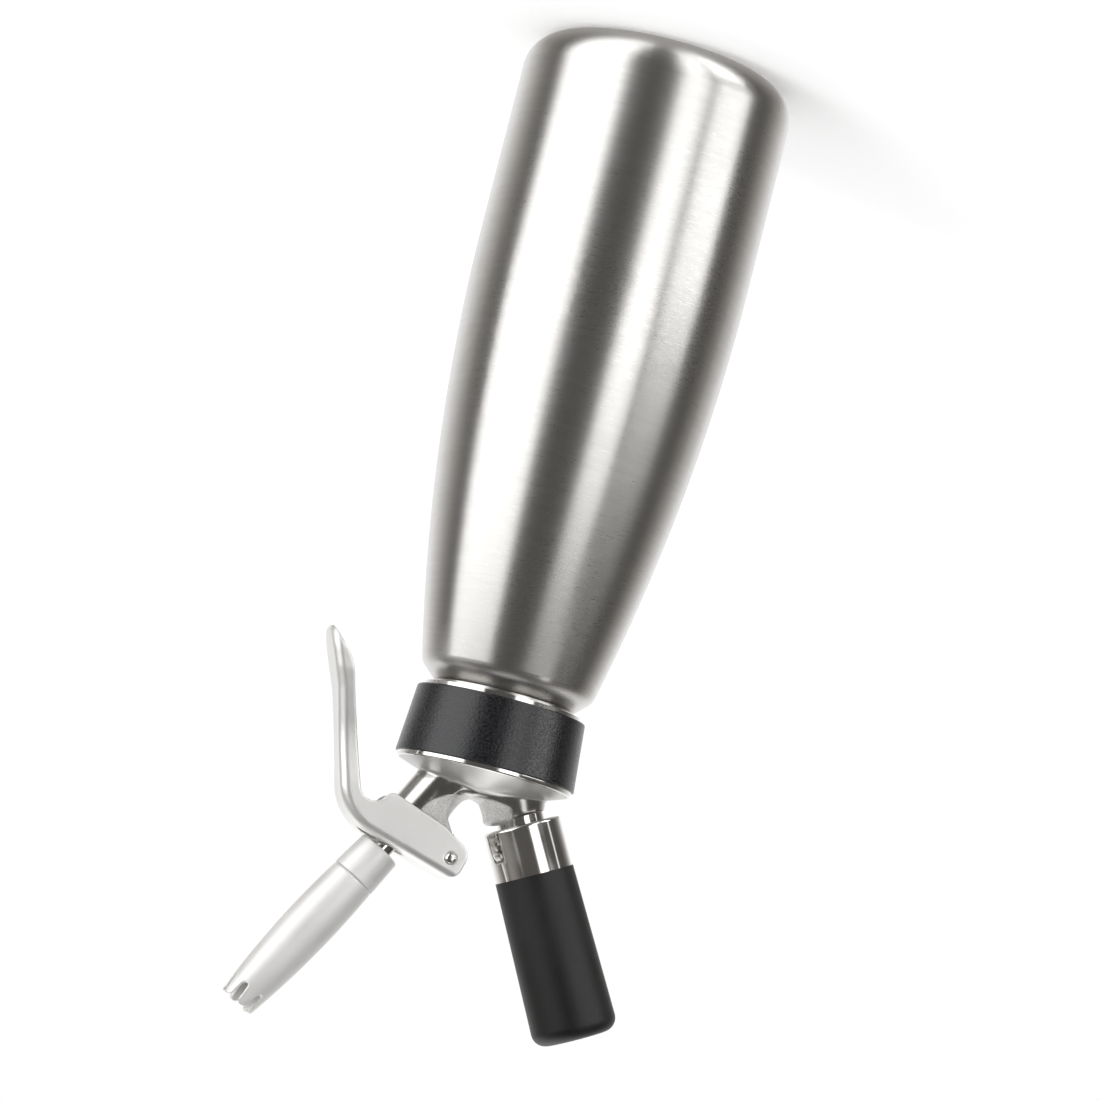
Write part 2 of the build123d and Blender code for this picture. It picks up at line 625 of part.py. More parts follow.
def lever_blank(inset):
    """Outline seen from the front, run through along X: straight, waisted at the handle, flared tip."""
    top = PIVOT_Z + LEVER_BACK + LEVER_EDGE
    elbow_z = pivot_point(*handle_point(0, -HANDLE_DEPTH))[1] - LEVER_ELBOW_ROUND / 2
    waist_z = pivot_point(*handle_point(HANDLE_LENGTH * 3 / 5, 0))[1]
    flare_z = pivot_point(*handle_point(HANDLE_LENGTH + TIP_LENGTH / 3, 0))[1]
    tip_z = pivot_point(*tip_point(TIP_LENGTH, 0))[1] - LEVER_SHEET + inset
    half = [
        (LEVER_HALF_WIDTH - inset, top, 0),
        (LEVER_HALF_WIDTH - inset, elbow_z, HANDLE_LENGTH),
        (HANDLE_HALF_WIDTH - inset, waist_z, HANDLE_LENGTH),
        (TIP_HALF_WIDTH - inset, flare_z, TIP_ROUND),
        (TIP_HALF_WIDTH - inset, tip_z, TIP_ROUND - inset),
    ]
    corners = half + [(-y, z, radius) for y, z, radius in reversed(half)]
    outline = FilletPolyline(
        *[(y, z) for y, z, _ in corners], radius=[radius for _, _, radius in corners], close=True
    )
    reach = 2 * (LEVER_ELBOW + HANDLE_LENGTH)
    return extrude(Plane.YZ * make_face(outline), reach, both=True)


def make_lever():
    width = TIP_HALF_WIDTH + LEVER_SHEET
    outside = lever_plate(lever_side_outline(), width) & lever_blank(0)
    channel = lever_plate(lever_channel_outline(), width) & lever_blank(LEVER_SHEET)
    slot = extrude(SlotOverall(SLOT_LENGTH, SLOT_WIDTH), amount=LEVER_BACK)
    slot_x, slot_z = pivot_point(SLOT_AT, LEVER_BACK / 2)
    slot = Pos(slot_x, 0, slot_z) * Rot(0, LEVER_TILT, 0) * slot
    pivot_hole = Pos(PIVOT_X, 0, PIVOT_Z) * Rot(SQUARE, 0, 0) * Cylinder(
        PIN_RADIUS + PRESS_FIT, 4 * LEVER_HALF_WIDTH
    )
    return outside - channel - slot - pivot_hole


def make_lever_pin():
    """Straight pin with slightly domed ends, flush with the cheeks."""
    half = LEVER_HALF_WIDTH
    pin = turned(
        (0, -half),
        (PIN_RADIUS - PIN_DOME, -half),
        (PIN_RADIUS, -half + PIN_DOME),
        (PIN_RADIUS, half - PIN_DOME),
        (PIN_RADIUS - PIN_DOME, half),
        (0, half),
    )
    return Pos(PIVOT_X, 0, PIVOT_Z) * Rot(SQUARE, 0, 0) * pin


# ---- valve ----
def make_valve_stem():
    """Hollow stem: a head inside the seal, inlets above it and a thread for the nozzle."""
    head_at = STEM_HEAD_TOP_AT - STEM_HEAD_THICKNESS
    groove = STEM_RADIUS - 2 * O_RING_WIRE
    groove_low = O_RING_AT - O_RING_WIRE - PRESS_FIT
    groove_high = O_RING_AT + O_RING_WIRE + PRESS_FIT
    stem = turned(
        (0, head_at),
        (STEM_HEAD_RADIUS, head_at),
        (STEM_HEAD_RADIUS, STEM_HEAD_TOP_AT),
        (STEM_RADIUS, STEM_HEAD_TOP_AT),
        (STEM_RADIUS, groove_low),
        (groove, groove_low),
        (groove, groove_high),
        (STEM_RADIUS, groove_high),
        (STEM_RADIUS, COLLAR_FROM_AT),
        (NOZZLE_THREAD_ROOT, COLLAR_FROM_AT + BODY_GAP),
        (NOZZLE_THREAD_ROOT, STEM_END_AT),
        (0, STEM_END_AT),
        rounds={1: PIN_DOME},
    )
    stem -= rod(STEM_BORE_RADIUS, SEAT_AT, STEM_END_AT)
    inlet = Pos(0, 0, INLET_AT) * Rot(0, SQUARE, 0) * Cylinder(
        INLET_RADIUS, 2 * STEM_RADIUS, align=(Align.CENTER, Align.CENTER, Align.MIN)
    )
    for k in range(INLET_COUNT):
        stem -= Rot(0, 0, 360 * k / INLET_COUNT) * inlet
    thread = male_ridge(
        NOZZLE_THREAD_ROOT,
        NOZZLE_THREAD_DEPTH,
        NOZZLE_THREAD_PITCH,
        NOZZLE_THREAD_TURNS,
        NOZZLE_THREAD_AT,
    )
    return on_valve_arm(stem + thread)


def make_valve_seal():
    low = STEM_HEAD_TOP_AT + PRESS_FIT
    seal = tube(STEM_RADIUS + PRESS_FIT, SEAL_RADIUS, low, SEAT_AT - RUNNING_FIT)
    return on_valve_arm(seal)


def make_valve_guide():
    guide = tube(
        STEM_RADIUS + RUNNING_FIT, VALVE_BORE_RADIUS - PRESS_FIT, GUIDE_FROM_AT, GUIDE_TO_AT
    )
    return on_valve_arm(guide)


def make_stem_o_ring():
    centre = STEM_RADIUS + RUNNING_FIT / 2 - O_RING_WIRE
    return on_valve_arm(Pos(0, 0, O_RING_AT) * Torus(centre, O_RING_WIRE))


def make_valve_spring():
    low = GUIDE_TO_AT + SPRING_WIRE + PRESS_FIT
    high = THRUST_NUT_FROM_AT - SPRING_WIRE - PRESS_FIT
    pitch = (high - low) / SPRING_TURNS
    path = Helix(pitch, high - low, SPRING_RADIUS, center=(0, 0, low))
    section = Plane.XZ * (Pos(SPRING_RADIUS, low) * Circle(SPRING_WIRE))
    return on_valve_arm(sweep(section, path=path, is_frenet=True))


def make_thrust_nut():
    """Round-topped nut on the stem, which the lever's back bears on."""
    nut = turned(
        (STEM_RADIUS + PRESS_FIT, THRUST_NUT_FROM_AT),
        (THRUST_NUT_RADIUS, THRUST_NUT_FROM_AT),
        (THRUST_NUT_RADIUS, THRUST_NUT_TO_AT),
        (STEM_RADIUS + PRESS_FIT, THRUST_NUT_TO_AT),
        rounds={2: THRUST_NUT_ROUND},
    )
    return on_valve_arm(nut)


# ---- nozzle ----
def make_nozzle_seal():
    low = STEM_END_AT + BODY_GAP
    ring = tube(
        NOZZLE_SEAL_BORE_RADIUS,
        NOZZLE_THREAD_ROOT + THREAD_GAP,
        low,
        low + NOZZLE_SEAL_THICKNESS,
    )
    return on_valve_arm(ring)


def make_nozzle_collar():
    """Screwed collar: threaded bore for the stem, and a socket that the nozzle is pushed into."""
    bore = female_bore_radius(NOZZLE_THREAD_ROOT, NOZZLE_THREAD_DEPTH)
    socket = NOZZLE_SPIGOT_RADIUS + PRESS_FIT
    collar = turned(
        (bore, COLLAR_FROM_AT),
        (COLLAR_TOP_RADIUS, COLLAR_FROM_AT),
        (COLLAR_STEP_RADIUS, COLLAR_TO_AT),
        (socket, COLLAR_TO_AT),
        (socket, SOCKET_AT),
        (NOZZLE_SEAL_BORE_RADIUS, SOCKET_AT),
        (NOZZLE_SEAL_BORE_RADIUS, COLLAR_FLOOR_AT),
        (bore, COLLAR_FLOOR_AT),
        rounds={1: COLLAR_ROUND},
    )
    thread = female_ridge(
        NOZZLE_THREAD_ROOT,
        NOZZLE_THREAD_DEPTH,
        NOZZLE_THREAD_PITCH,
        NOZZLE_THREAD_TURNS,
        NOZZLE_THREAD_AT,
    )
    return on_valve_arm(collar + thread)


def make_nozzle_tip():
    """Barrel-shaped decorating nozzle with a ring of open-ended gaps round its mouth."""
    spigot = COLLAR_TO_AT + PRESS_FIT
    foot = (NOZZLE_FOOT_RADIUS, spigot)
    belly = (NOZZLE_BELLY_RADIUS, NOZZLE_BELLY_AT)
    mouth = (NOZZLE_TIP_RADIUS, NOZZLE_TIP_AT)
    inner_foot = (NOZZLE_FOOT_RADIUS - NOZZLE_WALL, spigot)
    inner_belly = (NOZZLE_BELLY_RADIUS - NOZZLE_WALL, NOZZLE_BELLY_AT)
    inner_mouth = (NOZZLE_TIP_RADIUS - NOZZLE_WALL * 3 / 4, NOZZLE_TIP_AT)
    outline = Curve() + [
        Spline(foot, belly, mouth),
        Line(mouth, inner_mouth),
        Spline(inner_mouth, inner_belly, inner_foot),
        Line(inner_foot, foot),
    ]
    body = revolve(Plane.XZ * make_face(outline), Axis.Z)
    gap_root = NOZZLE_TIP_AT - TOOTH_DEPTH + TOOTH_GAP_ROOT / 2
    gap = plate(
        Polyline(
            (-TOOTH_GAP_ROOT / 2, gap_root),
            (TOOTH_GAP_ROOT / 2, gap_root),
            (TOOTH_GAP_TIP / 2, NOZZLE_TIP_AT + TOOTH_GAP_TIP),
            (-TOOTH_GAP_TIP / 2, NOZZLE_TIP_AT + TOOTH_GAP_TIP),
            close=True,
        ),
        4 * NOZZLE_TIP_RADIUS,
    )
    gap += Pos(0, 0, gap_root) * Rot(SQUARE, 0, 0) * Cylinder(TOOTH_GAP_ROOT / 2, 4 * NOZZLE_TIP_RADIUS)
    for k in range(TEETH // 2):
        body -= Rot(0, 0, TOOTH_PHASE + 360 * k / TEETH) * gap
    spigot_wall = tube(
        NOZZLE_SPIGOT_RADIUS - NOZZLE_WALL * 2 / 3,
        NOZZLE_SPIGOT_RADIUS,
        SOCKET_AT + PRESS_FIT,
        spigot + PRESS_FIT,
    )
    return on_valve_arm(body + spigot_wall)


# ---- gas side ----
def make_pin_holder():
    """Round insert at the bottom of the stub, which carries the piercing pin."""
    holder = tube(
        PIERCING_PIN_RADIUS + PRESS_FIT,
        STUB_BORE_RADIUS - PRESS_FIT,
        PIN_HOLDER_FOOT_AT + PRESS_FIT,
        PIN_HOLDER_TOP_AT,
    )
    seat = rod(
        PIERCING_PIN_FOOT_RADIUS + PRESS_FIT,
        PIN_HOLDER_FOOT_AT,
        PIN_HOLDER_FOOT_AT + PIERCING_PIN_FOOT_THICKNESS + 2 * PRESS_FIT,
    )
    return on_charger_arm(holder - seat)


def make_piercing_pin():
    """Hollow needle with a flat foot; its slanted point stands inside the pierced charger."""
    foot = PIN_HOLDER_FOOT_AT + PRESS_FIT
    point = CHARGER_NECK_AT + PIERCING_DEPTH
    pin = turned(
        (PIERCING_PIN_BORE, foot),
        (PIERCING_PIN_FOOT_RADIUS, foot),
        (PIERCING_PIN_FOOT_RADIUS, foot + PIERCING_PIN_FOOT_THICKNESS),
        (PIERCING_PIN_RADIUS, foot + PIERCING_PIN_FOOT_THICKNESS),
        (PIERCING_PIN_RADIUS, point),
        (PIERCING_PIN_BORE, point),
    )
    slant = Pos(0, 0, point) * Rot(0, SQUARE / 2, 0) * Box(
        8 * PIERCING_PIN_RADIUS, 8 * PIERCING_PIN_RADIUS, 2 * PIERCING_PIN_RADIUS,
        align=(Align.CENTER, Align.CENTER, Align.MIN),
    )
    return on_charger_arm(pin - slant)


def make_charger_seal():
    low = PIN_HOLDER_TOP_AT + PRESS_FIT
    seal = tube(
        PIERCING_PIN_RADIUS + BODY_GAP, STUB_BORE_RADIUS - PRESS_FIT, low, low + CHARGER_SEAL_THICKNESS
    )
    return on_charger_arm(seal)


def make_gas_check_valve():
    """Soft mushroom valve that covers the gas bore from inside the head."""
    top = CHECK_POCKET_AT - PRESS_FIT
    valve = turned(
        (0, top - CHECK_VALVE_THICKNESS),
        (CHECK_VALVE_RADIUS * 2 / 3, top - CHECK_VALVE_THICKNESS),
        (CHECK_VALVE_RADIUS, top - CHECK_VALVE_THICKNESS / 3),
        (CHECK_VALVE_RADIUS, top),
        (CHECK_VALVE_STEM_RADIUS, top),
        (CHECK_VALVE_STEM_RADIUS, top + CHECK_VALVE_STEM_LENGTH),
        (0, top + CHECK_VALVE_STEM_LENGTH),
    )
    return on_charger_arm(valve)


def charger_form(inset):
    """Outline of the gas charger turned round, drawn in by inset."""
    neck_end = CHARGER_NECK_AT + CHARGER_NECK_LENGTH
    return turned(
        (0, CHARGER_NECK_AT + inset),
        (CHARGER_NECK_RADIUS - inset, CHARGER_NECK_AT + inset),
        (CHARGER_NECK_RADIUS - inset, neck_end + inset / 2),
        (CHARGER_RADIUS - inset, neck_end + CHARGER_SHOULDER_LENGTH + inset / 2),
        (CHARGER_RADIUS - inset, CHARGER_END_AT - inset),
        (0, CHARGER_END_AT - inset),
        rounds={2: CHARGER_WALL, 3: CHARGER_RADIUS / 2, 4: CHARGER_RADIUS / 2 - inset},
    )


def make_gas_charger():
    bore = CHARGER_NECK_RADIUS - CHARGER_WALL
    mouth = rod(bore, CHARGER_NECK_AT - CHARGER_WALL, CHARGER_NECK_AT + CHARGER_NECK_LENGTH)
    return on_charger_arm(charger_form(0) - charger_form(CHARGER_WALL) - mouth)


def make_charger_cap():
    """Thin pierced disc that closes the charger's neck."""
    low = CHARGER_NECK_AT + PRESS_FIT
    cap = tube(
        CHARGER_HOLE_RADIUS,
        CHARGER_NECK_RADIUS - CHARGER_WALL - PRESS_FIT,
        low,
        low + CHARGER_CAP_THICKNESS,
    )
    return on_charger_arm(cap)


def make_charger_holder():
    """Polished collar and the tube below it, bored for the charger and threaded for the stub."""
    thread_bore = female_bore_radius(STUB_THREAD_ROOT, STUB_THREAD_DEPTH)
    thread_end = STUB_END_AT + 2 * BODY_GAP
    holder = turned(
        (thread_bore, HOLDER_TOP_AT),
        (HOLDER_COLLAR_RADIUS, HOLDER_TOP_AT),
        (HOLDER_COLLAR_RADIUS, HOLDER_GRIP_FROM_AT),
        (HOLDER_TUBE_RADIUS, HOLDER_GRIP_FROM_AT),
        (HOLDER_TUBE_RADIUS, HOLDER_END_AT),
        (0, HOLDER_END_AT),
        (0, HOLDER_FLOOR_AT),
        (HOLDER_BORE_RADIUS, HOLDER_FLOOR_AT),
        (HOLDER_BORE_RADIUS, thread_end + thread_bore - HOLDER_BORE_RADIUS),
        (thread_bore, thread_end),
        rounds={1: HOLDER_COLLAR_ROUND},
    )
    thread = female_ridge(
        STUB_THREAD_ROOT,
        STUB_THREAD_DEPTH,
        STUB_THREAD_PITCH,
        STUB_THREAD_TURNS - 1,
        STUB_FROM_AT + STUB_THREAD_PITCH / 2,
    )
    return on_charger_arm(holder + thread)


def make_charger_grip():
    """Soft sleeve over the holder's tube, closed at its end."""
    inner = HOLDER_TUBE_RADIUS + PRESS_FIT
    top = HOLDER_GRIP_FROM_AT + PRESS_FIT
    grip = turned(
        (inner, top),
        (HOLDER_GRIP_TOP_RADIUS, top),
        (HOLDER_GRIP_END_RADIUS, GRIP_END_AT),
        (0, GRIP_END_AT),
        (0, HOLDER_END_AT + PRESS_FIT),
        (inner, HOLDER_END_AT + PRESS_FIT),
        rounds={2: HOLDER_GRIP_ROUND},
    )
    return on_charger_arm(grip)


PIECES = {
    "bottle": make_bottle,
    "bottle_neck": make_bottle_neck,
    "head_casting": make_head_casting,
    "grip_ring": make_grip_ring,
    "head_gasket": make_head_gasket,
    "lever": make_lever,
    "lever_pin": make_lever_pin,
    "valve_stem": make_valve_stem,
    "valve_seal": make_valve_seal,
    "valve_guide": make_valve_guide,
    "stem_o_ring": make_stem_o_ring,
    "valve_spring": make_valve_spring,
    "thrust_nut": make_thrust_nut,
    "nozzle_seal": make_nozzle_seal,
    "nozzle_collar": make_nozzle_collar,
    "nozzle_tip": make_nozzle_tip,
    "pin_holder": make_pin_holder,
    "piercing_pin": make_piercing_pin,
    "charger_seal": make_charger_seal,
    "gas_check_valve": make_gas_check_valve,
    "gas_charger": make_gas_charger,
    "charger_cap": make_charger_cap,
    "charger_holder": make_charger_holder,
    "charger_grip": make_charger_grip,
}

os.makedirs("parts", exist_ok=True)
for name, make in PIECES.items():
    export_step(make(), f"parts/{name}.step")
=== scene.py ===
"""Whipped cream dispenser, dressed for looks over its packed construction.

Blender works in metres.  Shapes below are worked out in millimetres, in the construction's own
frame (origin at the centre of the base, +Z up), and shrunk to metres when they become meshes.
Fields are signed distances: negative inside a piece, zero on its surface, positive outside.
"""

import json
import math

import bmesh
import bpy
import numpy as np
from mathutils import Matrix, Vector


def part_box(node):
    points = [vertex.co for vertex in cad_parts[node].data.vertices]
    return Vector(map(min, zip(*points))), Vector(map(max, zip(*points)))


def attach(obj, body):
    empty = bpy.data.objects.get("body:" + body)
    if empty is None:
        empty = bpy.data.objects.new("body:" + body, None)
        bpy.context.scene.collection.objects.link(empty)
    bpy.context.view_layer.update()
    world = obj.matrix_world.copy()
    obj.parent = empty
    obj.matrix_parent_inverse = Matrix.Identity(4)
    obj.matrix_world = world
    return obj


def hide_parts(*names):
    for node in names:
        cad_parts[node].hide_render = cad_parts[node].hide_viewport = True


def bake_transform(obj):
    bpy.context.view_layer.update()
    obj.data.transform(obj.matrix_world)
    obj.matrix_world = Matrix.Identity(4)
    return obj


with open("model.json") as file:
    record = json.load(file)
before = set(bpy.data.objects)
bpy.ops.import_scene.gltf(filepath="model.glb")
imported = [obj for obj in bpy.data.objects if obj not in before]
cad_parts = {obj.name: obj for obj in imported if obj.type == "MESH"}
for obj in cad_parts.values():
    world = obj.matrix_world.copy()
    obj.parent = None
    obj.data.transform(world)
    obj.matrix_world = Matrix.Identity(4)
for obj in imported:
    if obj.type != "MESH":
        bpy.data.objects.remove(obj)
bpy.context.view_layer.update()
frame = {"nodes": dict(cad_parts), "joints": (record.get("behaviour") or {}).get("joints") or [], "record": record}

MM = 0.001
JOINTS = {joint["name"]: joint for joint in frame["joints"]}
STEP = 0.36  # spacing of the grids that fields are sampled on
OVERLAP = STEP / 4  # by which the pieces of one casting run into each other
DRAWS = 3  # times that a skin is drawn onto its surface
LONGEST_DRAW = STEP / 4
LEAST_SLOPE = 0.5  # a flatter field draws no harder than this
SAME_POINT = 1e-4  # points nearer than this are one
LEAST_ROUND = 0.035  # a corner with a smaller round stays sharp
STRAIGHT = math.pi - 1e-3  # a corner that opens wider counts as none
TINY = 1e-12  # keeps a side of no length from dividing by nothing

# ---- head, as the construction has it ----
APEX = np.array([0.0, 0.0, 241.3])
ARM_TILT = math.radians(29.0)
VALVE_WAY = np.array([math.sin(ARM_TILT), 0.0, math.cos(ARM_TILT)])
CHARGER_WAY = np.array([-math.sin(ARM_TILT), 0.0, math.cos(ARM_TILT)])
RIM_TOP = 259.0
RIM_RADIUS = 31.0
DOME_RADIUS = 79.0  # of the sphere that the dome is part of
DOME_CENTRE = RIM_TOP - math.sqrt(DOME_RADIUS**2 - RIM_RADIUS**2)  # Z of its centre
DOME_EDGE = 30.5  # the dome's skin ends inside the rim
RIM_UNDER = 257.6
RIM_ROUND = 0.75
RIM_CREST = 0.5  # how far the rim stands proud of the dome's edge
RIM_INSIDE = 24.0
FOOT_TOP = 257.5  # the threaded foot is cut here, under the rim
VALVE_BOSS = (14.0, 46.0, 9.9, 8.4)  # along the arm from, to; radius from, to
CHARGER_BOSS = (20.0, 32.4, 14.4, 8.8)  # the same four
BOSS_ROUND = 0.4
WEB_HALF = 6.0  # half the plate's thickness from the charger arm to the middle
LUG_HALF = 8.0  # half of it from the notch's wall to the lever
NOTCH_FLOOR = 267.4
NOTCH_WALL = 9.3  # X of the wall on the lever's side
NOTCH_ROUND = 4.0
NOTCH_LEAN_FROM = 276.7  # above this the notch's wall leans over to the pivot
RIB_END = 32.6  # along the charger arm
RIB_REACH = 12.4  # across from the charger arm's axis
RIB_FOOT = -2.2  # X where the rib comes down to the notch's floor
ARM_COVE = 0.9  # cast fillet between the dome and the arms
FLARE_REACH = 2.4  # how far the web stands out where it meets the dome
FLARE_HEIGHT = 6.0  # over the dome, where the flare has run out
FLARE_MIDDLE = 2.0  # X where it is widest
FLARE_SPREAD = 18.0  # along X from there to where it is down to about a third
WEB_COVE = 3.0  # cast fillet between the web and the arms
BLAST_CENTRE = (-2.0, 278.0)  # X and Z of the middle of the blasted patch on the web
BLAST_REACH = (21.0, 11.0)
BLAST_SIDE = 3.6  # from the charger arm's axis to where its blasted side ends
PLATE_ROUND = 1.6  # the plate's edges
SPRING_POCKET = (36.0, 6.3)  # along the arm from, radius
VALVE_BORE = 5.6
SEAT_POCKET = (20.5, 7.6)  # along the arm to, radius
GAS_BORE = 1.6

# ---- lever ----
PIVOT = np.array(JOINTS["lever_press"]["pos_m"]) / MM
LEVER_FALL = math.radians(16.0)
SHEET = 1.5
BACK = 6.6
EDGE = 8.2
EDGE_TAPER = 1.5
END = 5.3
END_ROUND = 4.8
HEEL_AT = 7.3
HEEL_RISE = 3.6
ELBOW_AT = 39.6
ELBOW_ROUND = 20.0
HANDLE_TURN = math.radians(58.3)
HANDLE_LENGTH = 44.0
HANDLE_DEPTH = 5.6
TIP_LENGTH = 21.5
TIP_DEPTH = 6.5
TIP_DEEPEST_AT = 8.0
TIP_TURN = HANDLE_TURN - math.radians(6.0)
HUMP_AT = 28.7
HUMP_ROUND = 3.0
ARMPIT_ROUND = 5.0
ARMPIT_SHIFT = (1.4, 1.0)
LEVER_HALF_WIDTH = 11.0
HANDLE_HALF_WIDTH = 8.8
TIP_HALF_WIDTH = 12.5
TIP_ROUND = 9.0
BEND_ROUND = 3.2  # outside of the pressed bend between a cheek and the back
CUT_ROUND = 0.35  # tumbled cut edges
SLOT_AT = 23.0
SLOT_LENGTH = 18.4
SLOT_WIDTH = 9.6
PIN_RADIUS = 2.02
PIN_DOME = 1.0  # how far the pin's ends stand out of the cheeks
PIN_END_ROUND = 1.4

# ---- valve spring ----
COIL_RADIUS = 5.15  # to the wire's middle
COIL_WIRE = 0.55  # the wire's radius
COIL_TURNS = 5.5

# ---- nozzle, along the valve arm ----
NOZZLE_FOOT_AT = 71.9
NOZZLE_GROOVE = (72.5, 7.75)  # along the arm to, radius
NOZZLE_BELLY_AT = 91.995
NOZZLE_TIP_AT = 130.195
NOZZLE_BELLY_RADIUS = 8.75
NOZZLE_TIP_RADIUS = 6.4
NOZZLE_WALL = 2.2
NOZZLE_LIP = 1.5  # wall at the mouth
TEETH = 6
TOOTH_DEPTH = 7.0
TOOTH_GAP_ROOT = 2.2
TOOTH_GAP_TIP = 3.2
TOOTH_PHASE = math.radians(-10.0)
TOOTH_ROUND = 1.3

# ---- camera ----
CAMERA_PLACE = (0.208487, -1.566082, 0.390507)  # metres
CAMERA_AZIMUTH = math.radians(7.695)
CAMERA_ELEVATION = math.radians(7.685)
CAMERA_ROLL = math.radians(194.253)
CAMERA_LENS = 150.505
CAMERA_SENSOR = 36.0
CAMERA_CLIP = (0.1, 100.0)

# ---- studio, by azimuth from the camera in degrees and by sine of elevation ----
PANELS = (
    # level, left, right, low, high, softness of the sides, softness of the ends
    (2.1, -89, -29, -0.99, 0.3, 3, 0.03),
    (2.2, 15, 40, -0.985, -0.36, 3, 0.03),
    (3.0, 50, 84, -0.985, -0.56, 3, 0.03),
    (2.5, 18, 43.5, -0.27, 0.11, 3, 0.03),
    (4.4, 50, 84, -0.31, -0.16, 3, 0.03),
    (1.2, 76, 81, -0.7, -0.40, 1, 0.03),
    (0.22, -76, -26, 0.42, 0.6, 14, 0.08),
    (1.4, 45, 58, 0.36, 0.62, 2, 0.03),
)
PAPER_MIDDLE = 3  # azimuth that the paper lies evenly about
PAPER_EDGES = (98, 160)  # sideways from there, where the paper starts and is full
PAPER_FOOT = (-0.5, -0.28)  # heights between which it brightens from its foot's level
PAPER_FOOT_LEVEL = 0.4
OVERHEAD_EDGES = (60, 120)  # the same for the paper that hangs over the object
OVERHEAD_HEIGHTS = (0.4, 0.8)
OVERHEAD_LEVEL = 0.7
CEILING_HEIGHTS = (0.94, 0.985)
CEILING_LEVEL = 1.3
ROOM_LEVEL = 0.1
WARM = (1.0, 0.95, 0.90, 1.0)
WHITE = (1.0, 1.0, 1.0, 1.0)
FLOOR_REACH = 40000.0
FLOOR_LIFT = 0.12  # glow that only the camera sees
LAMP_PLACE = (1.2, -1.1, 1.3)  # metres, as its aim and size are
LAMP_AIM = (0.0, 0.0, 0.2)
LAMP_SIZE = 0.9
LAMP_POWER = 12.0

# ---- finishes: each colour and roughness varies between two values ----
TINTS = {
    "bottle_steel": ((0.56, 0.55, 0.535), (0.66, 0.65, 0.635)),
    "cast_steel": ((0.58, 0.57, 0.555), (0.86, 0.855, 0.84)),
    "polished_steel": ((0.70, 0.69, 0.67), (0.76, 0.75, 0.735)),
    "lever_steel": ((0.77, 0.765, 0.75), (0.85, 0.845, 0.83)),
    "nozzle_steel": ((0.78, 0.775, 0.76), (0.84, 0.835, 0.825)),
    "ring_plastic": ((0.004, 0.004, 0.005), (0.008, 0.009, 0.012)),
    "grip_rubber": ((0.003, 0.003, 0.003), (0.006, 0.006, 0.006)),
    "seal_rubber": ((0.035, 0.035, 0.036), (0.05, 0.05, 0.05)),
    "guide_plastic": ((0.78, 0.78, 0.75), (0.84, 0.84, 0.82)),
    "spring_steel": ((0.5, 0.5, 0.5), (0.6, 0.6, 0.59)),
    "brass": ((0.70, 0.53, 0.25), (0.78, 0.62, 0.33)),
    "charger_steel": ((0.58, 0.59, 0.61), (0.66, 0.67, 0.69)),
    "paper": ((0.895, 0.895, 0.895), (0.9, 0.9, 0.9)),
}
ROUGHNESS = {
    "bottle_steel": (0.20, 0.36),
    "cast_steel": (0.16, 0.52),
    "polished_steel": (0.07, 0.13),
    "lever_steel": (0.38, 0.46),
    "nozzle_steel": (0.52, 0.6),
    "ring_plastic": (0.24, 0.36),
    "grip_rubber": (0.46, 0.54),
    "seal_rubber": (0.45, 0.6),
    "guide_plastic": (0.35, 0.45),
    "spring_steel": (0.18, 0.28),
    "brass": (0.2, 0.32),
    "charger_steel": (0.25, 0.36),
}
GRAIN_DEPTH = {  # in metres, of a grain that runs from nothing to one
    "bottle_steel": 0.000012,
    "cast_steel": 0.00022,
    "lever_steel": 0.00002,
    "ring_plastic": 0.00006,
    "grip_rubber": 0.00002,
}
FINE_GRAIN_DEPTH = 0.00001  # of every other finish
COARSE_LINES = 0.22  # how much coarser the streaks are than the fine lines
PIT_DEPTH = 0.6  # as a share of the bumps' height
SPECKLE_BAND = (0.35, 0.65)  # of the noise, stretched to run from nothing to one
CLOUD_BAND = (0.3, 0.7)
BOTTLE_CLOUD = 0.2  # how much handling adds to the bottle's roughness
CAST_CLOUD = 0.1
DOME_SATIN = 0.5  # the dome's share of the casting's full roughness
DOME_FADE = (0.1, 1.2)  # over the dome, where its satin starts and ends to fade
BLAST_EDGE = (0.9, 1.1)  # where the patch fades, as a share of its ellipse squared
BLAST_FADE = 1.0  # to either side of its edge on the charger arm
DULLEST_SPECKLE = 0.3
LEAST_GRAIN = 0.04  # share of the grain that is left off the blasted patch
SCATTER = 0.25  # share of the metal that scatters where it is blasted or satin


# ---- fields ----
def round_union(a, b, radius):
    """Both fields together, with a cove of this radius where they meet: the smaller of the two,
    less the part of a circle that fits between surfaces nearer than the radius."""
    reach = np.hypot(np.maximum(radius - a, 0), np.maximum(radius - b, 0))
    return np.maximum(radius, np.minimum(a, b)) - reach


def round_common(a, b, radius):
    """What lies in both fields, with the edge between them rounded to this radius."""
    reach = np.hypot(np.maximum(radius + a, 0), np.maximum(radius + b, 0))
    return np.minimum(-radius, np.maximum(a, b)) + reach


def on_way(way, local):
    """Directions given as across, along Y and along an arm, turned to X, Y and Z."""
    return local @ np.array([[way[2], 0.0, -way[0]], [0.0, 1.0, 0.0], way])


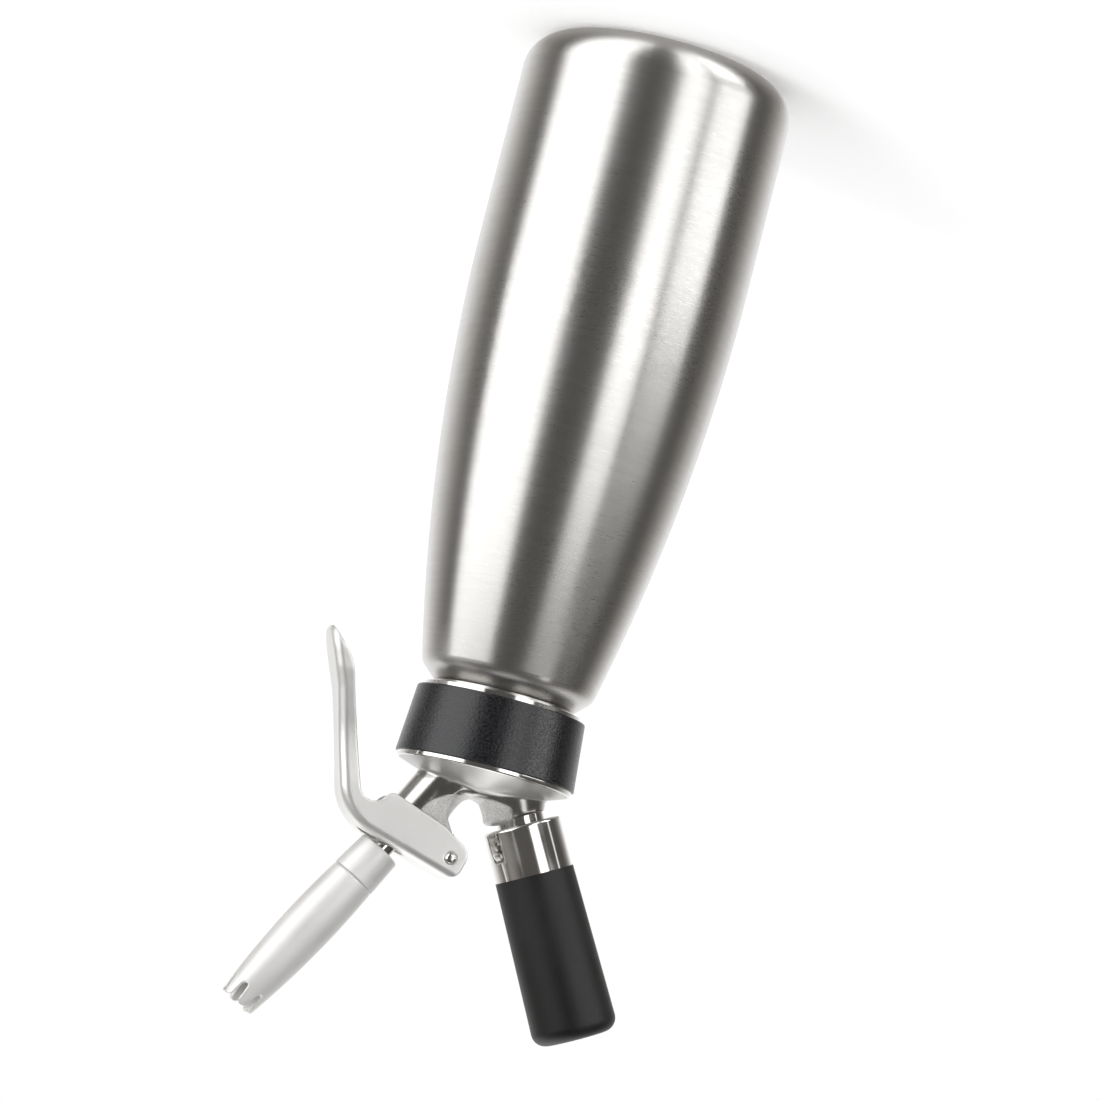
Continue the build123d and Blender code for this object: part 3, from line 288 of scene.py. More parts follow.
def rounded_outline(corners, arc_points=10):
    """Closed outline through corners of (x, y, radius): each corner is replaced by an arc that is
    tangent to both sides, sampled at even angles."""
    places = np.array([corner[:2] for corner in corners], float)
    outline = []
    for k, (_, _, radius) in enumerate(corners):
        here = places[k]
        back = places[k - 1] - here
        ahead = places[(k + 1) % len(corners)] - here
        back /= np.linalg.norm(back)
        ahead /= np.linalg.norm(ahead)
        opening = math.acos(np.clip(back @ ahead, -1, 1))
        if radius < LEAST_ROUND or opening > STRAIGHT:
            outline.append(here[None])
            continue
        middle = (back + ahead) / np.linalg.norm(back + ahead)
        centre = here + middle * radius / math.sin(opening / 2)
        start = here + back * radius / math.tan(opening / 2) - centre
        stop = here + ahead * radius / math.tan(opening / 2) - centre
        sweep = math.atan2(start[0] * stop[1] - start[1] * stop[0], start @ stop)
        turn = np.linspace(0, sweep, arc_points)
        outline.append(
            centre
            + np.outer(np.cos(turn), start)
            + np.outer(np.sin(turn), [-start[1], start[0]])
        )
    return np.concatenate(outline)


def outline_field(outline, across, up):
    """Signed distance to a closed outline at every (across, up): the nearest side's distance,
    negative where a line sideways crosses the outline an odd number of times."""
    u, v = np.meshgrid(across, up, indexing="ij")
    nearest = np.full(u.shape, np.inf)
    inside = np.zeros(u.shape, bool)
    for (u0, v0), (u1, v1) in zip(outline, np.roll(outline, -1, axis=0)):
        du, dv = u1 - u0, v1 - v0
        share = np.clip(((u - u0) * du + (v - v0) * dv) / (du * du + dv * dv + TINY), 0, 1)
        nearest = np.minimum(nearest, np.hypot(u - u0 - share * du, v - v0 - share * dv))
        spans = (v0 > v) != (v1 > v)
        inside ^= spans & (u < u0 + (v - v0) * du / (dv if dv else 1))
    return np.where(inside, -nearest, nearest).astype(np.float32)


def grid_axes(low, high, margin=1.2):
    """Even grid coordinates along X, Y and Z over a box with a margin."""
    return [np.arange(a - margin, b + margin + STEP, STEP) for a, b in zip(low, high)]


def blend_of_cells(values, place):
    """Values at places between grid points, blended from each cell's eight corners."""
    cell = np.clip(place.astype(int), 0, np.array(values.shape[:3]) - 2)
    share = place - cell
    total = 0
    for corner in np.ndindex(2, 2, 2):
        weight = np.prod(np.where(corner, share, 1 - share), axis=1)
        total = total + values[tuple((cell + corner).T)] * weight[:, None]
    return total


def skin_of(field, axes):
    """Closed skin where the field is zero: each grid cell that the surface passes through gets one
    point, the mean of the crossings on its edges, and each crossed edge joins the points of its
    four cells with a face that looks out of the solid.  The points are then drawn onto the surface
    along the field's slope, which is also the direction that the skin faces there."""
    shape = np.array(field.shape)
    cells = tuple(shape - 1)
    total = int(np.prod(cells))
    sums, count, faces = np.zeros((total, 3)), np.zeros(total), []
    for axis in range(3):
        ends = [slice(None)] * 3
        starts = list(ends)
        starts[axis], ends[axis] = slice(None, -1), slice(1, None)
        low, high = field[tuple(starts)], field[tuple(ends)]
        crossed = np.argwhere((low < 0) != (high < 0))
        here = tuple(crossed.T)
        value, other = low[here], high[here]
        place = np.stack([axes[i][crossed[:, i]] for i in range(3)], axis=1)
        place[:, axis] += STEP * value / (value - other)
        side, up = (axis + 1) % 3, (axis + 2) % 3
        corners = []
        for step_side, step_up in ((0, 0), (1, 0), (1, 1), (0, 1)):
            cell = crossed.copy()
            cell[:, side] -= step_side
            cell[:, up] -= step_up
            index = np.ravel_multi_index(tuple(cell.T), cells)
            for i in range(3):
                sums[:, i] += np.bincount(index, place[:, i], total)
            count += np.bincount(index, minlength=total)
            corners.append(index)
        quads = np.stack(corners, axis=1)
        leaving = value < 0
        faces.append(np.where(leaving[:, None], quads, quads[:, ::-1]))
    used = np.flatnonzero(count)
    number = np.full(total, -1)
    number[used] = np.arange(len(used))
    points = sums[used] / count[used, None]
    fields = np.stack([field, *np.gradient(field, STEP)], axis=-1)
    corner = np.array([axis[0] for axis in axes])
    for _ in range(DRAWS):
        value, slope = np.split(blend_of_cells(fields, (points - corner) / STEP), [1], axis=1)
        steepness = np.maximum((slope**2).sum(axis=1, keepdims=True), LEAST_SLOPE**2)
        points -= np.clip(value * slope / steepness, -LONGEST_DRAW, LONGEST_DRAW)
    return points, number[np.concatenate(faces)], slope


def new_piece(name, points, faces, facing=None):
    """Smooth mesh object from points in millimetres and faces with an equal number of corners, lit
    as if its surface looked the way that is given for each point."""
    faces = np.asarray(faces)
    mesh = bpy.data.meshes.new(name)
    mesh.vertices.add(len(points))
    mesh.vertices.foreach_set("co", (np.asarray(points) * MM).astype(np.float32).ravel())
    mesh.loops.add(faces.size)
    mesh.loops.foreach_set("vertex_index", faces.astype(np.int32).ravel())
    mesh.polygons.add(len(faces))
    mesh.polygons.foreach_set("loop_start", np.arange(0, faces.size, faces.shape[1], dtype=np.int32))
    mesh.polygons.foreach_set("use_smooth", np.ones(len(faces), bool))
    mesh.update(calc_edges=True)
    mesh.validate()
    if facing is not None:
        facing = facing / np.linalg.norm(facing, axis=1, keepdims=True)
        mesh.normals_split_custom_set_from_vertices(facing)
    piece = bpy.data.objects.new(name, mesh)
    bpy.context.scene.collection.objects.link(piece)
    return piece


def merge_points(piece):
    """Makes one point of those that lie on each other, so that seams and poles are closed."""
    form = bmesh.new()
    form.from_mesh(piece.data)
    bmesh.ops.remove_doubles(form, verts=form.verts, dist=SAME_POINT * MM)
    form.to_mesh(piece.data)
    form.free()
    return piece


def stand_for(piece, material, slot, *nodes):
    """Gives a new piece its finish and lets it stand for CAD nodes."""
    piece.data.materials.clear()
    piece.data.materials.append(material)
    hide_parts(*nodes)


def dress(piece, body, material, slot, *nodes):
    """Lets a new piece ride on its body, gives it its finish and lets it stand for CAD nodes."""
    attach(piece, body)
    stand_for(piece, material, slot, *nodes)


# ---- head ----
def along_arm(way, x, y, z):
    """Distance along an arm's axis from the apex, and distance from that axis."""
    along = x * way[0] + (z - APEX[2]) * way[2]
    across = x * way[2] - (z - APEX[2]) * way[0]
    return along, np.hypot(across, y)


def boss_field(way, boss, x, y, z):
    """Cone round an arm's axis between two distances, its end edge softly rounded."""
    start, end, start_radius, end_radius = boss
    along, out = along_arm(way, x, y, z)
    taper = (end_radius - start_radius) / (end - start)
    side = (out - start_radius - taper * (along - start)) / math.hypot(1, taper)
    return np.maximum(round_common(side, along - end, BOSS_ROUND), start - along)


def dome_field(x, y, z):
    """Under the low dome, part of a sphere that meets the rim's top."""
    sphere = np.sqrt(x * x + y * y + (z - DOME_CENTRE) ** 2) - DOME_RADIUS
    return round_common(sphere, np.hypot(x, y) - DOME_EDGE, CUT_ROUND)


def on_arm(way, along, across):
    """(x, z) of a point beside an arm's axis, across towards +X."""
    return along * way[0] + across * way[2], APEX[2] + along * way[2] - across * way[0]


def web_outline():
    """Plate in the plane of symmetry: along the charger arm as a rib, under the notch, up its far
    wall to the pivot, round the lug's end and back down the valve arm."""
    boss_end = VALVE_BOSS[1] - BOSS_ROUND
    end = BACK - SHEET - CUT_ROUND
    return rounded_outline(
        [
            (*on_arm(CHARGER_WAY, CHARGER_BOSS[0], 0), 0),
            (*on_arm(CHARGER_WAY, RIB_END, 0), 0),
            (*on_arm(CHARGER_WAY, RIB_END, RIB_REACH), PLATE_ROUND),
            (RIB_FOOT, NOTCH_FLOOR, PLATE_ROUND / 2),
            (NOTCH_WALL, NOTCH_FLOOR, NOTCH_ROUND),
            (NOTCH_WALL, NOTCH_LEAN_FROM, NOTCH_ROUND),
            (PIVOT[0] - end, PIVOT[2], END_ROUND),
            (PIVOT[0] - end, PIVOT[2] + end, end - PLATE_ROUND),
            (PIVOT[0] + end, PIVOT[2] + end, end - PLATE_ROUND),
            (PIVOT[0] + end, PIVOT[2] - end / 2, 0),
            (*on_arm(VALVE_WAY, boss_end - BOSS_ROUND, -VALVE_BOSS[3]), 0),
            (*on_arm(VALVE_WAY, boss_end, -VALVE_BOSS[3] / 2), 0),
            (*on_arm(VALVE_WAY, VALVE_BOSS[0], 0), 0),
        ]
    )


def head_body():
    """The cast top of the head: dome, two arms, web and lug joined by coves, less its bores.  The
    web's half thickness grows from the middle to the notch's wall, and flares towards the dome by
    reach * exp(-((x - middle) / spread)^2), falling evenly to nothing over the flare's height."""
    low, high = (-RIM_RADIUS, -RIM_RADIUS, FOOT_TOP), (RIM_RADIUS, RIM_RADIUS, PIVOT[2] + BACK)
    axes = grid_axes(low, high)
    xs, ys, zs = axes
    x, y, z = xs[:, None, None], ys[None, :, None], zs[None, None, :]
    valve = boss_field(VALVE_WAY, VALVE_BOSS, x, y, z)
    charger = boss_field(CHARGER_WAY, CHARGER_BOSS, x, y, z)
    dome = dome_field(x, y, z)
    left = np.clip(1 - dome / FLARE_HEIGHT, 0, 1)
    flare = FLARE_REACH * np.exp(-(((x - FLARE_MIDDLE) / FLARE_SPREAD) ** 2))
    share = np.clip(x / NOTCH_WALL, 0, 1)
    half = WEB_HALF + (LUG_HALF - WEB_HALF) * share**2 * (3 - 2 * share)
    side = (np.abs(y) - half - flare * left) / np.hypot(1, flare / FLARE_HEIGHT)
    web = round_common(outline_field(web_outline(), xs, zs)[:, None, :], side, PLATE_ROUND)
    arms = round_union(round_union(valve, web, WEB_COVE), charger, WEB_COVE)
    head = round_union(dome, arms, ARM_COVE)
    valve_along, valve_out = along_arm(VALVE_WAY, x, y, z)
    gas_out = along_arm(CHARGER_WAY, x, y, z)[1]
    bores = np.minimum(valve_out - VALVE_BORE, gas_out - GAS_BORE)
    bores = np.minimum(bores, np.maximum(valve_out - SPRING_POCKET[1], SPRING_POCKET[0] - valve_along))
    bores = np.minimum(bores, np.maximum(valve_out - SEAT_POCKET[1], valve_along - SEAT_POCKET[0]))
    bores = np.minimum(bores, np.hypot(x - PIVOT[0], z - PIVOT[2]) - PIN_RADIUS)
    head = np.maximum(head, -bores)
    head = np.maximum(head, FOOT_TOP - OVERLAP - z)
    return new_piece("head_body", *skin_of(head, axes))


def turned(name, outline, way=None, sides=256):
    """Outline of (radius, height) turned about +Z, or about an arm's axis with heights from the
    apex: point (i, j) is the outline's point j at the angle 2 pi i / sides.  The outline is closed
    and runs anticlockwise, so that faces look outwards; where it touches the axis, the points of
    one height become one."""
    outline = np.asarray(outline, float)
    angle = np.arange(sides)[:, None] * (2 * math.pi / sides)
    radius, height = outline[:, 0], outline[:, 1]
    heights = np.broadcast_to(height, (sides, len(outline)))
    points = np.stack([radius * np.cos(angle), radius * np.sin(angle), heights], axis=-1).reshape(-1, 3)
    if way is not None:
        points = APEX + on_way(way, points)
    number = np.arange(len(points)).reshape(sides, -1)
    around, along = np.roll(number, -1, axis=0), np.roll(number, -1, axis=1)
    both = np.roll(around, -1, axis=1)
    faces = np.stack([number, around, both, along], axis=-1).reshape(-1, 4)
    return merge_points(new_piece(name, points, faces))


def head_rim():
    """Polished rim between the black ring and the dome: a flat-sided band with a round crest that
    stands a little proud of the dome."""
    top = RIM_TOP + RIM_CREST
    return turned(
        "head_rim",
        rounded_outline(
            [
                (RIM_INSIDE, RIM_UNDER, 0),
                (RIM_RADIUS, RIM_UNDER, CUT_ROUND / 2),
                (RIM_RADIUS, top, RIM_ROUND),
                (RIM_RADIUS - 2 * RIM_ROUND, top, RIM_ROUND),
                (RIM_RADIUS - 2 * RIM_ROUND, RIM_UNDER + RIM_ROUND, 0),
                (RIM_INSIDE, RIM_UNDER + RIM_ROUND, 0),
            ]
        ),
    )


def cut_copy(node, name, point, outward):
    """Copy of a CAD node's mesh, merged and cut off square past a point, its cut closed."""
    mesh = frame["nodes"][node].data.copy()
    mesh.name = name
    form = bmesh.new()
    form.from_mesh(mesh)
    bmesh.ops.remove_doubles(form, verts=form.verts, dist=SAME_POINT * MM)
    whole = form.verts[:] + form.edges[:] + form.faces[:]
    cut = bmesh.ops.bisect_plane(
        form, geom=whole, plane_co=Vector(point) * MM, plane_no=Vector(outward), clear_outer=True
    )
    edges = [part for part in cut["geom_cut"] if isinstance(part, bmesh.types.BMEdge)]
    bmesh.ops.triangle_fill(form, edges=edges, use_beauty=True, normal=Vector(outward))
    form.to_mesh(mesh)
    form.free()
    piece = bpy.data.objects.new(name, mesh)
    bpy.context.scene.collection.objects.link(piece)
    return piece


def head_foot():
    """Machined foot of the head: the threaded skirt up to the rim."""
    return cut_copy("head_casting", "head_foot", (0, 0, FOOT_TOP), (0, 0, 1))


def charger_stub():
    """Machined end of the charger arm: undercut neck and threaded stub."""
    start = APEX + CHARGER_WAY * (CHARGER_BOSS[1] - OVERLAP)
    return cut_copy("head_casting", "charger_stub", start, -CHARGER_WAY)


# ---- lever ----
def lever_place(along, out):
    """(x, z) of a point given along the lower arm from the pivot, and out from the head."""
    return (
        PIVOT[0] + along * math.cos(LEVER_FALL) + out * math.sin(LEVER_FALL),
        PIVOT[2] - along * math.sin(LEVER_FALL) + out * math.cos(LEVER_FALL),
    )


def handle_place(along, out):
    """Lever coordinates of a point on the handle: along it from the elbow, out to its back."""
    c, s = math.cos(HANDLE_TURN), math.sin(HANDLE_TURN)
    return ELBOW_AT + along * c + out * s, BACK - along * s + out * c


def tip_place(along, out):
    """Lever coordinates of a point on the flared tip, along it from the handle's end."""
    start = handle_place(HANDLE_LENGTH, 0)
    c, s = math.cos(TIP_TURN), math.sin(TIP_TURN)
    return start[0] + along * c + out * s, start[1] - along * s + out * c


def lever_pressing():
    """Pressed channel: a solid bounded by its side outline, its front outline and a rounded bend
    along its back, less the same solid set in by the sheet and left open at the cheeks' edges."""
    taper = EDGE_TAPER / HUMP_AT
    heel = EDGE + HEEL_AT * taper
    armpit = handle_place(0, -HANDLE_DEPTH)
    far = 2 * HANDLE_LENGTH
    side_corners = [
        (-END, BACK, END_ROUND),
        (ELBOW_AT, BACK, ELBOW_ROUND),
        (*handle_place(HANDLE_LENGTH, 0), ELBOW_ROUND),
        (*tip_place(TIP_LENGTH, 0), 0),
        (*tip_place(TIP_LENGTH, -SHEET), 0),
        (*tip_place(TIP_DEEPEST_AT, -TIP_DEPTH), ELBOW_ROUND),
        (*handle_place(HANDLE_LENGTH, -HANDLE_DEPTH), ELBOW_ROUND),
        (armpit[0] - ARMPIT_SHIFT[0], armpit[1] - ARMPIT_SHIFT[1], ARMPIT_ROUND),
        (HUMP_AT, -EDGE - EDGE_TAPER, HUMP_ROUND),
        (HEEL_AT, -heel, END_ROUND),
        (-END, HEEL_RISE - heel, END_ROUND),
    ]
    back_corners = [
        (-far, BACK, 0),
        (ELBOW_AT, BACK, ELBOW_ROUND),
        (*handle_place(HANDLE_LENGTH, 0), ELBOW_ROUND),
        (*tip_place(far, 0), 0),
        (-far, tip_place(far, 0)[1], 0),
    ]

    def height(place):
        return lever_place(*place)[1]

    front_half = [
        (LEVER_HALF_WIDTH, PIVOT[2] + BACK + EDGE, 0),
        (LEVER_HALF_WIDTH, height(armpit) - ELBOW_ROUND / 2, HANDLE_LENGTH),
        (HANDLE_HALF_WIDTH, height(handle_place(HANDLE_LENGTH * 3 / 5, 0)), HANDLE_LENGTH),
        (TIP_HALF_WIDTH, height(handle_place(HANDLE_LENGTH + TIP_LENGTH / 3, 0)), TIP_ROUND),
        (TIP_HALF_WIDTH, height(tip_place(TIP_LENGTH, 0)) - SHEET, TIP_ROUND),
    ]
    front_corners = front_half + [(-y, z, r) for y, z, r in reversed(front_half)]
    low, high = (np.array(corner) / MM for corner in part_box("lever"))
    axes = grid_axes(low, high)
    xs, ys, zs = axes

    def in_place(corners):
        return rounded_outline([(*lever_place(a, o), r) for a, o, r in corners], arc_points=16)

    side = outline_field(in_place(side_corners), xs, zs)[:, None, :]
    back = outline_field(in_place(back_corners), xs, zs)[:, None, :]
    front = outline_field(rounded_outline(front_corners, arc_points=16), ys, zs)[None, :, :]
    outside = np.maximum(round_common(back, front, BEND_ROUND), round_common(side, front, CUT_ROUND))
    channel = round_common(back + SHEET, front + SHEET, BEND_ROUND - SHEET)
    x, y, z = xs[:, None, None], ys[None, :, None], zs[None, None, :]
    dx, dz = x - PIVOT[0], z - PIVOT[2]
    along = dx * math.cos(LEVER_FALL) - dz * math.sin(LEVER_FALL)
    out = dx * math.sin(LEVER_FALL) + dz * math.cos(LEVER_FALL)
    straight = (SLOT_LENGTH - SLOT_WIDTH) / 2
    slot = np.hypot(np.maximum(np.abs(along - SLOT_AT) - straight, 0), y) - SLOT_WIDTH / 2
    slot = np.maximum(slot, BACK / 2 - out)
    hole = np.hypot(dx, dz) - PIN_RADIUS
    lever = round_common(outside, -channel, CUT_ROUND)
    lever = np.maximum(round_common(lever, -slot, CUT_ROUND), -hole)
    return new_piece("lever_pressing", *skin_of(lever, axes))


def domed_pin():
    """Pivot pin with domed ends that stand a little out of the cheeks."""
    half = LEVER_HALF_WIDTH + PIN_DOME
    ends = [(PIN_RADIUS, -half, PIN_END_ROUND), (PIN_RADIUS, half, PIN_END_ROUND)]
    pin = turned("pivot_pin", rounded_outline([(0, -half, 0), *ends, (0, half, 0)]), sides=96)
    pin.data.transform(Matrix.Translation(PIVOT * MM) @ Matrix.Rotation(math.pi / 2, 4, "X"))
    return pin


# ---- valve ----
def valve_coil(low, high, stations=400, sides=14):
    """Coil spring between two distances along the valve arm.  Its wire's middle turns evenly round
    the arm as it climbs; point (i, j) is at station i of the wire and at the angle 2 pi j / sides
    round its section, which shrinks to a point over a wire's radius at both ends."""
    turned_through = 2 * math.pi * COIL_TURNS
    length = math.hypot(turned_through * COIL_RADIUS, high - low)
    share = (1 - np.cos(np.linspace(0, math.pi, stations))) / 2
    turn = turned_through * share
    outward = np.stack([np.cos(turn), np.sin(turn), 0 * turn], axis=1)
    rise = (high - low - 2 * COIL_WIRE) / turned_through
    ahead = np.stack([-COIL_RADIUS * np.sin(turn), COIL_RADIUS * np.cos(turn), 0 * turn + rise], axis=1)
    ahead /= np.linalg.norm(ahead, axis=1, keepdims=True)
    upward = np.cross(outward, ahead)
    middle = COIL_RADIUS * outward
    middle[:, 2] = low + COIL_WIRE + rise * turn
    from_end = np.clip(np.minimum(share, 1 - share) * length / COIL_WIRE, 0, 1)
    section = COIL_WIRE * np.sqrt(1 - (1 - from_end) ** 2)
    angle = np.arange(sides) * (2 * math.pi / sides)
    around = outward[:, None] * np.cos(angle)[:, None] + upward[:, None] * np.sin(angle)[:, None]
    points = middle[:, None] + section[:, None, None] * around
    number = np.arange(stations * sides).reshape(stations, sides)
    beside = np.roll(number, -1, axis=1)
    faces = np.stack([number[:-1], number[1:], beside[1:], beside[:-1]], axis=-1).reshape(-1, 4)
    return merge_points(new_piece("valve_coil", APEX + on_way(VALVE_WAY, points.reshape(-1, 3)), faces))


def spring_seats():
    """How far along the valve arm the construction's spring begins and ends."""
    mesh = frame["nodes"]["valve_spring"].data
    points = np.zeros(3 * len(mesh.vertices), np.float32)
    mesh.vertices.foreach_get("co", points)
    along = (points.reshape(-1, 3) / MM - APEX) @ VALVE_WAY
    return along.min(), along.max()


# ---- nozzle ----
def nozzle_barrel():
    """Barrel whose radius falls off as the square of the distance from its belly, hollow, with a
    groove at its foot and tapering round-rooted gaps between round-ended teeth at its mouth."""
    reach = NOZZLE_BELLY_RADIUS + STEP
    axes = grid_axes((-reach, -reach, NOZZLE_FOOT_AT), (reach, reach, NOZZLE_TIP_AT))
    u, v, w = axes[0][:, None, None], axes[1][None, :, None], axes[2][None, None, :]
    out = np.hypot(u, v)
    share = (w - NOZZLE_BELLY_AT) / (NOZZLE_TIP_AT - NOZZLE_BELLY_AT)
    radius = NOZZLE_BELLY_RADIUS - (NOZZLE_BELLY_RADIUS - NOZZLE_TIP_RADIUS) * share**2
    wall = NOZZLE_WALL + (NOZZLE_LIP - NOZZLE_WALL) * np.clip(share, 0, 1) ** 2
    outside = round_common(out - radius, NOZZLE_GROOVE[0] - w, CUT_ROUND)
    outside = np.minimum(outside, np.maximum(out - NOZZLE_GROOVE[1], w - NOZZLE_BELLY_AT))
    outside = np.maximum(outside, NOZZLE_FOOT_AT - w)
    root = NOZZLE_TIP_AT - TOOTH_DEPTH + TOOTH_GAP_ROOT / 2
    flare = (TOOTH_GAP_TIP - TOOTH_GAP_ROOT) / 2 * (w - root) / (NOZZLE_TIP_AT - root)
    gaps = np.inf
    for turn in TOOTH_PHASE + np.arange(TEETH) * 2 * math.pi / TEETH:
        across = np.abs(v * math.cos(turn) - u * math.sin(turn))
        ahead = u * math.cos(turn) + v * math.sin(turn)
        gap = np.where(w < root, np.hypot(across, w - root), across - flare) - TOOTH_GAP_ROOT / 2
        gaps = np.minimum(gaps, np.maximum(gap, -ahead))
    teeth = round_common(w - NOZZLE_TIP_AT, -gaps, TOOTH_ROUND)
    barrel = round_common(outside, radius - wall - out, CUT_ROUND)
    barrel = round_common(barrel, teeth, CUT_ROUND)
    points, faces, facing = skin_of(barrel, axes)
    return new_piece("nozzle_barrel", APEX + on_way(VALVE_WAY, points), faces, on_way(VALVE_WAY, facing))


# ---- finishes ----
class Sketch:
    """Short forms for adding nodes to one tree and joining them."""

    def __init__(self, tree):
        self.tree = tree

    def add(self, kind, inputs=None, **settings):
        node = self.tree.nodes.new(kind)
        for name, value in settings.items():
            setattr(node, name, value)
        for name, value in (inputs or {}).items():
            self.feed(node.inputs[name], value)
        return node

    def feed(self, socket, value):
        if isinstance(value, bpy.types.NodeSocket):
            self.tree.links.new(value, socket)
        else:
            socket.default_value = value

    def math(self, operation, *values):
        node = self.add("ShaderNodeMath", operation=operation)
        for socket, value in zip(node.inputs, values):
            self.feed(socket, value)
        return node.outputs[0]

    def dot(self, vector, direction):
        node = self.add("ShaderNodeVectorMath", {0: vector, 1: direction}, operation="DOT_PRODUCT")
        return node.outputs["Value"]

    def ramp(self, value, start, end, low=0.0, high=1.0):
        """Smooth step of a value from low to high between start and end."""
        sources = {"Value": value, "From Min": start, "From Max": end, "To Min": low, "To Max": high}
        return self.add("ShaderNodeMapRange", sources, interpolation_type="SMOOTHSTEP").outputs[0]

    def noise(self, vector, scale, detail, **inputs):
        """Noise of this scale, with ever finer layers up to detail."""
        sources = {"Vector": vector, "Scale": scale, "Detail": detail, **inputs}
        return self.add("ShaderNodeTexNoise", sources).outputs[0]

    def tint(self, share, first, second):
        """Colour between first and second by share."""
        node = self.add("ShaderNodeMix", data_type="RGBA")
        self.feed(node.inputs[0], share)
        self.feed(node.inputs[6], first)
        self.feed(node.inputs[7], second)
        return node.outputs[2]


def effect_group(name, inputs, outputs):
    """Empty shader group with number and vector inputs and number outputs."""
    tree = bpy.data.node_groups.new(name, "ShaderNodeTree")
    for socket, (kind, value) in inputs.items():
        made = tree.interface.new_socket(socket, in_out="INPUT", socket_type=kind)
        if value is not None:
            made.default_value = value
    for socket in outputs:
        tree.interface.new_socket(socket, in_out="OUTPUT", socket_type="NodeSocketFloat")
    sketch = Sketch(tree)
    return sketch, sketch.add("NodeGroupInput").outputs, sketch.add("NodeGroupOutput").inputs


def brushed_lines():
    """Fine parallel lines: noise on coordinates that Squeeze multiplies, so that it stretches along
    the axes with a small factor.  Streak is the same noise, coarser."""
    sketch, given, wanted = effect_group(
        "brushed_lines",
        {
            "Vector": ("NodeSocketVector", None),
            "Squeeze": ("NodeSocketVector", None),
            "Scale": ("NodeSocketFloat", 300.0),
        },
        ["Height", "Streak"],
    )
    stretched = sketch.add(
        "ShaderNodeVectorMath", {0: given["Vector"], 1: given["Squeeze"]}, operation="MULTIPLY"
    ).outputs[0]
    fine = sketch.noise(stretched, given["Scale"], 4.0, Roughness=0.7)
    coarse_scale = sketch.math("MULTIPLY", given["Scale"], COARSE_LINES)
    coarse = sketch.noise(stretched, coarse_scale, 2.0, Roughness=0.6)
    sketch.feed(wanted["Height"], fine)
    sketch.feed(wanted["Streak"], coarse)
    return sketch.tree


def cast_grain():
    """Grain of a blasted or moulded surface: small bumps from noise, and sparse pits from cells."""
    sketch, given, wanted = effect_group(
        "cast_grain",
        {"Vector": ("NodeSocketVector", None), "Scale": ("NodeSocketFloat", 1500.0)},
        ["Height", "Speckle"],
    )
    bumps = sketch.noise(given["Vector"], given["Scale"], 3.0)
    cells = sketch.add("ShaderNodeTexVoronoi", {"Vector": given["Vector"], "Scale": given["Scale"]})
    cell = sketch.math("MULTIPLY", cells.outputs["Distance"], PIT_DEPTH)
    sketch.feed(wanted["Height"], sketch.math("ADD", bumps, cell))
    sketch.feed(wanted["Speckle"], sketch.ramp(bumps, *SPECKLE_BAND))
    return sketch.tree


def handling():
    """Slow clouds that vary a finish as handling and polishing do."""
    sketch, given, wanted = effect_group(
        "handling",
        {"Vector": ("NodeSocketVector", None), "Scale": ("NodeSocketFloat", 30.0)},
        ["Cloud"],
    )
    cloud = sketch.noise(given["Vector"], given["Scale"], 3.0)
    sketch.feed(wanted["Cloud"], sketch.ramp(cloud, *CLOUD_BAND))
    return sketch.tree


BRUSHED_LINES = brushed_lines()
CAST_GRAIN = cast_grain()
HANDLING = handling()


class Finish:
    """One material: object coordinates, the shared effects, and the shader they end in.  Its name
    finds its colours, roughness and depth of grain."""

    def __init__(self, name, **constants):
        self.name = name
        self.material = bpy.data.materials.new(name)
        self.material.use_nodes = True
        self.sketch = Sketch(self.material.node_tree)
        self.shader = self.material.node_tree.nodes["Principled BSDF"]
        for socket, value in constants.items():
            self.shader.inputs[socket.replace("_", " ")].default_value = value
        self.place = self.sketch.add("ShaderNodeTexCoord").outputs["Object"]

    def effect(self, group, **inputs):
        node = self.sketch.add("ShaderNodeGroup", node_tree=group)
        self.sketch.feed(node.inputs["Vector"], self.place)
        for socket, value in inputs.items():
            self.sketch.feed(node.inputs[socket], value)
        return node.outputs

    def colour(self, share):
        first, second = TINTS[self.name]
        tint = self.sketch.tint(share, (*first, 1.0), (*second, 1.0))
        self.sketch.feed(self.shader.inputs["Base Color"], tint)

    def roughness(self, share):
        low, high = ROUGHNESS[self.name]
        mapped = self.sketch.add("ShaderNodeMapRange", {"Value": share, "To Min": low, "To Max": high})
        self.sketch.feed(self.shader.inputs["Roughness"], mapped.outputs[0])

    def bump(self, height):
        depth = GRAIN_DEPTH.get(self.name, FINE_GRAIN_DEPTH)
        node = self.sketch.add("ShaderNodeBump", {"Height": height, "Distance": depth, "Strength": 1.0})
        self.sketch.feed(self.shader.inputs["Normal"], node.outputs[0])


def bottle_steel():
    """Drawn bottle, brushed round its axis, so highlights spread along it."""
    finish = Finish("bottle_steel", Metallic=1.0, Anisotropic=0.65, Anisotropic_Rotation=0.25)
    lines = finish.effect(BRUSHED_LINES, Squeeze=(0.09, 0.09, 1.0), Scale=3000.0)
    cloud = finish.effect(HANDLING, Scale=14.0)["Cloud"]
    finish.colour(lines["Streak"])
    finish.roughness(finish.sketch.math("MULTIPLY_ADD", cloud, BOTTLE_CLOUD, lines["Height"]))
    finish.bump(lines["Height"])
    around = finish.sketch.add("ShaderNodeTangent", direction_type="RADIAL", axis="Z").outputs[0]
    finish.sketch.feed(finish.shader.inputs["Tangent"], around)
    return finish.material


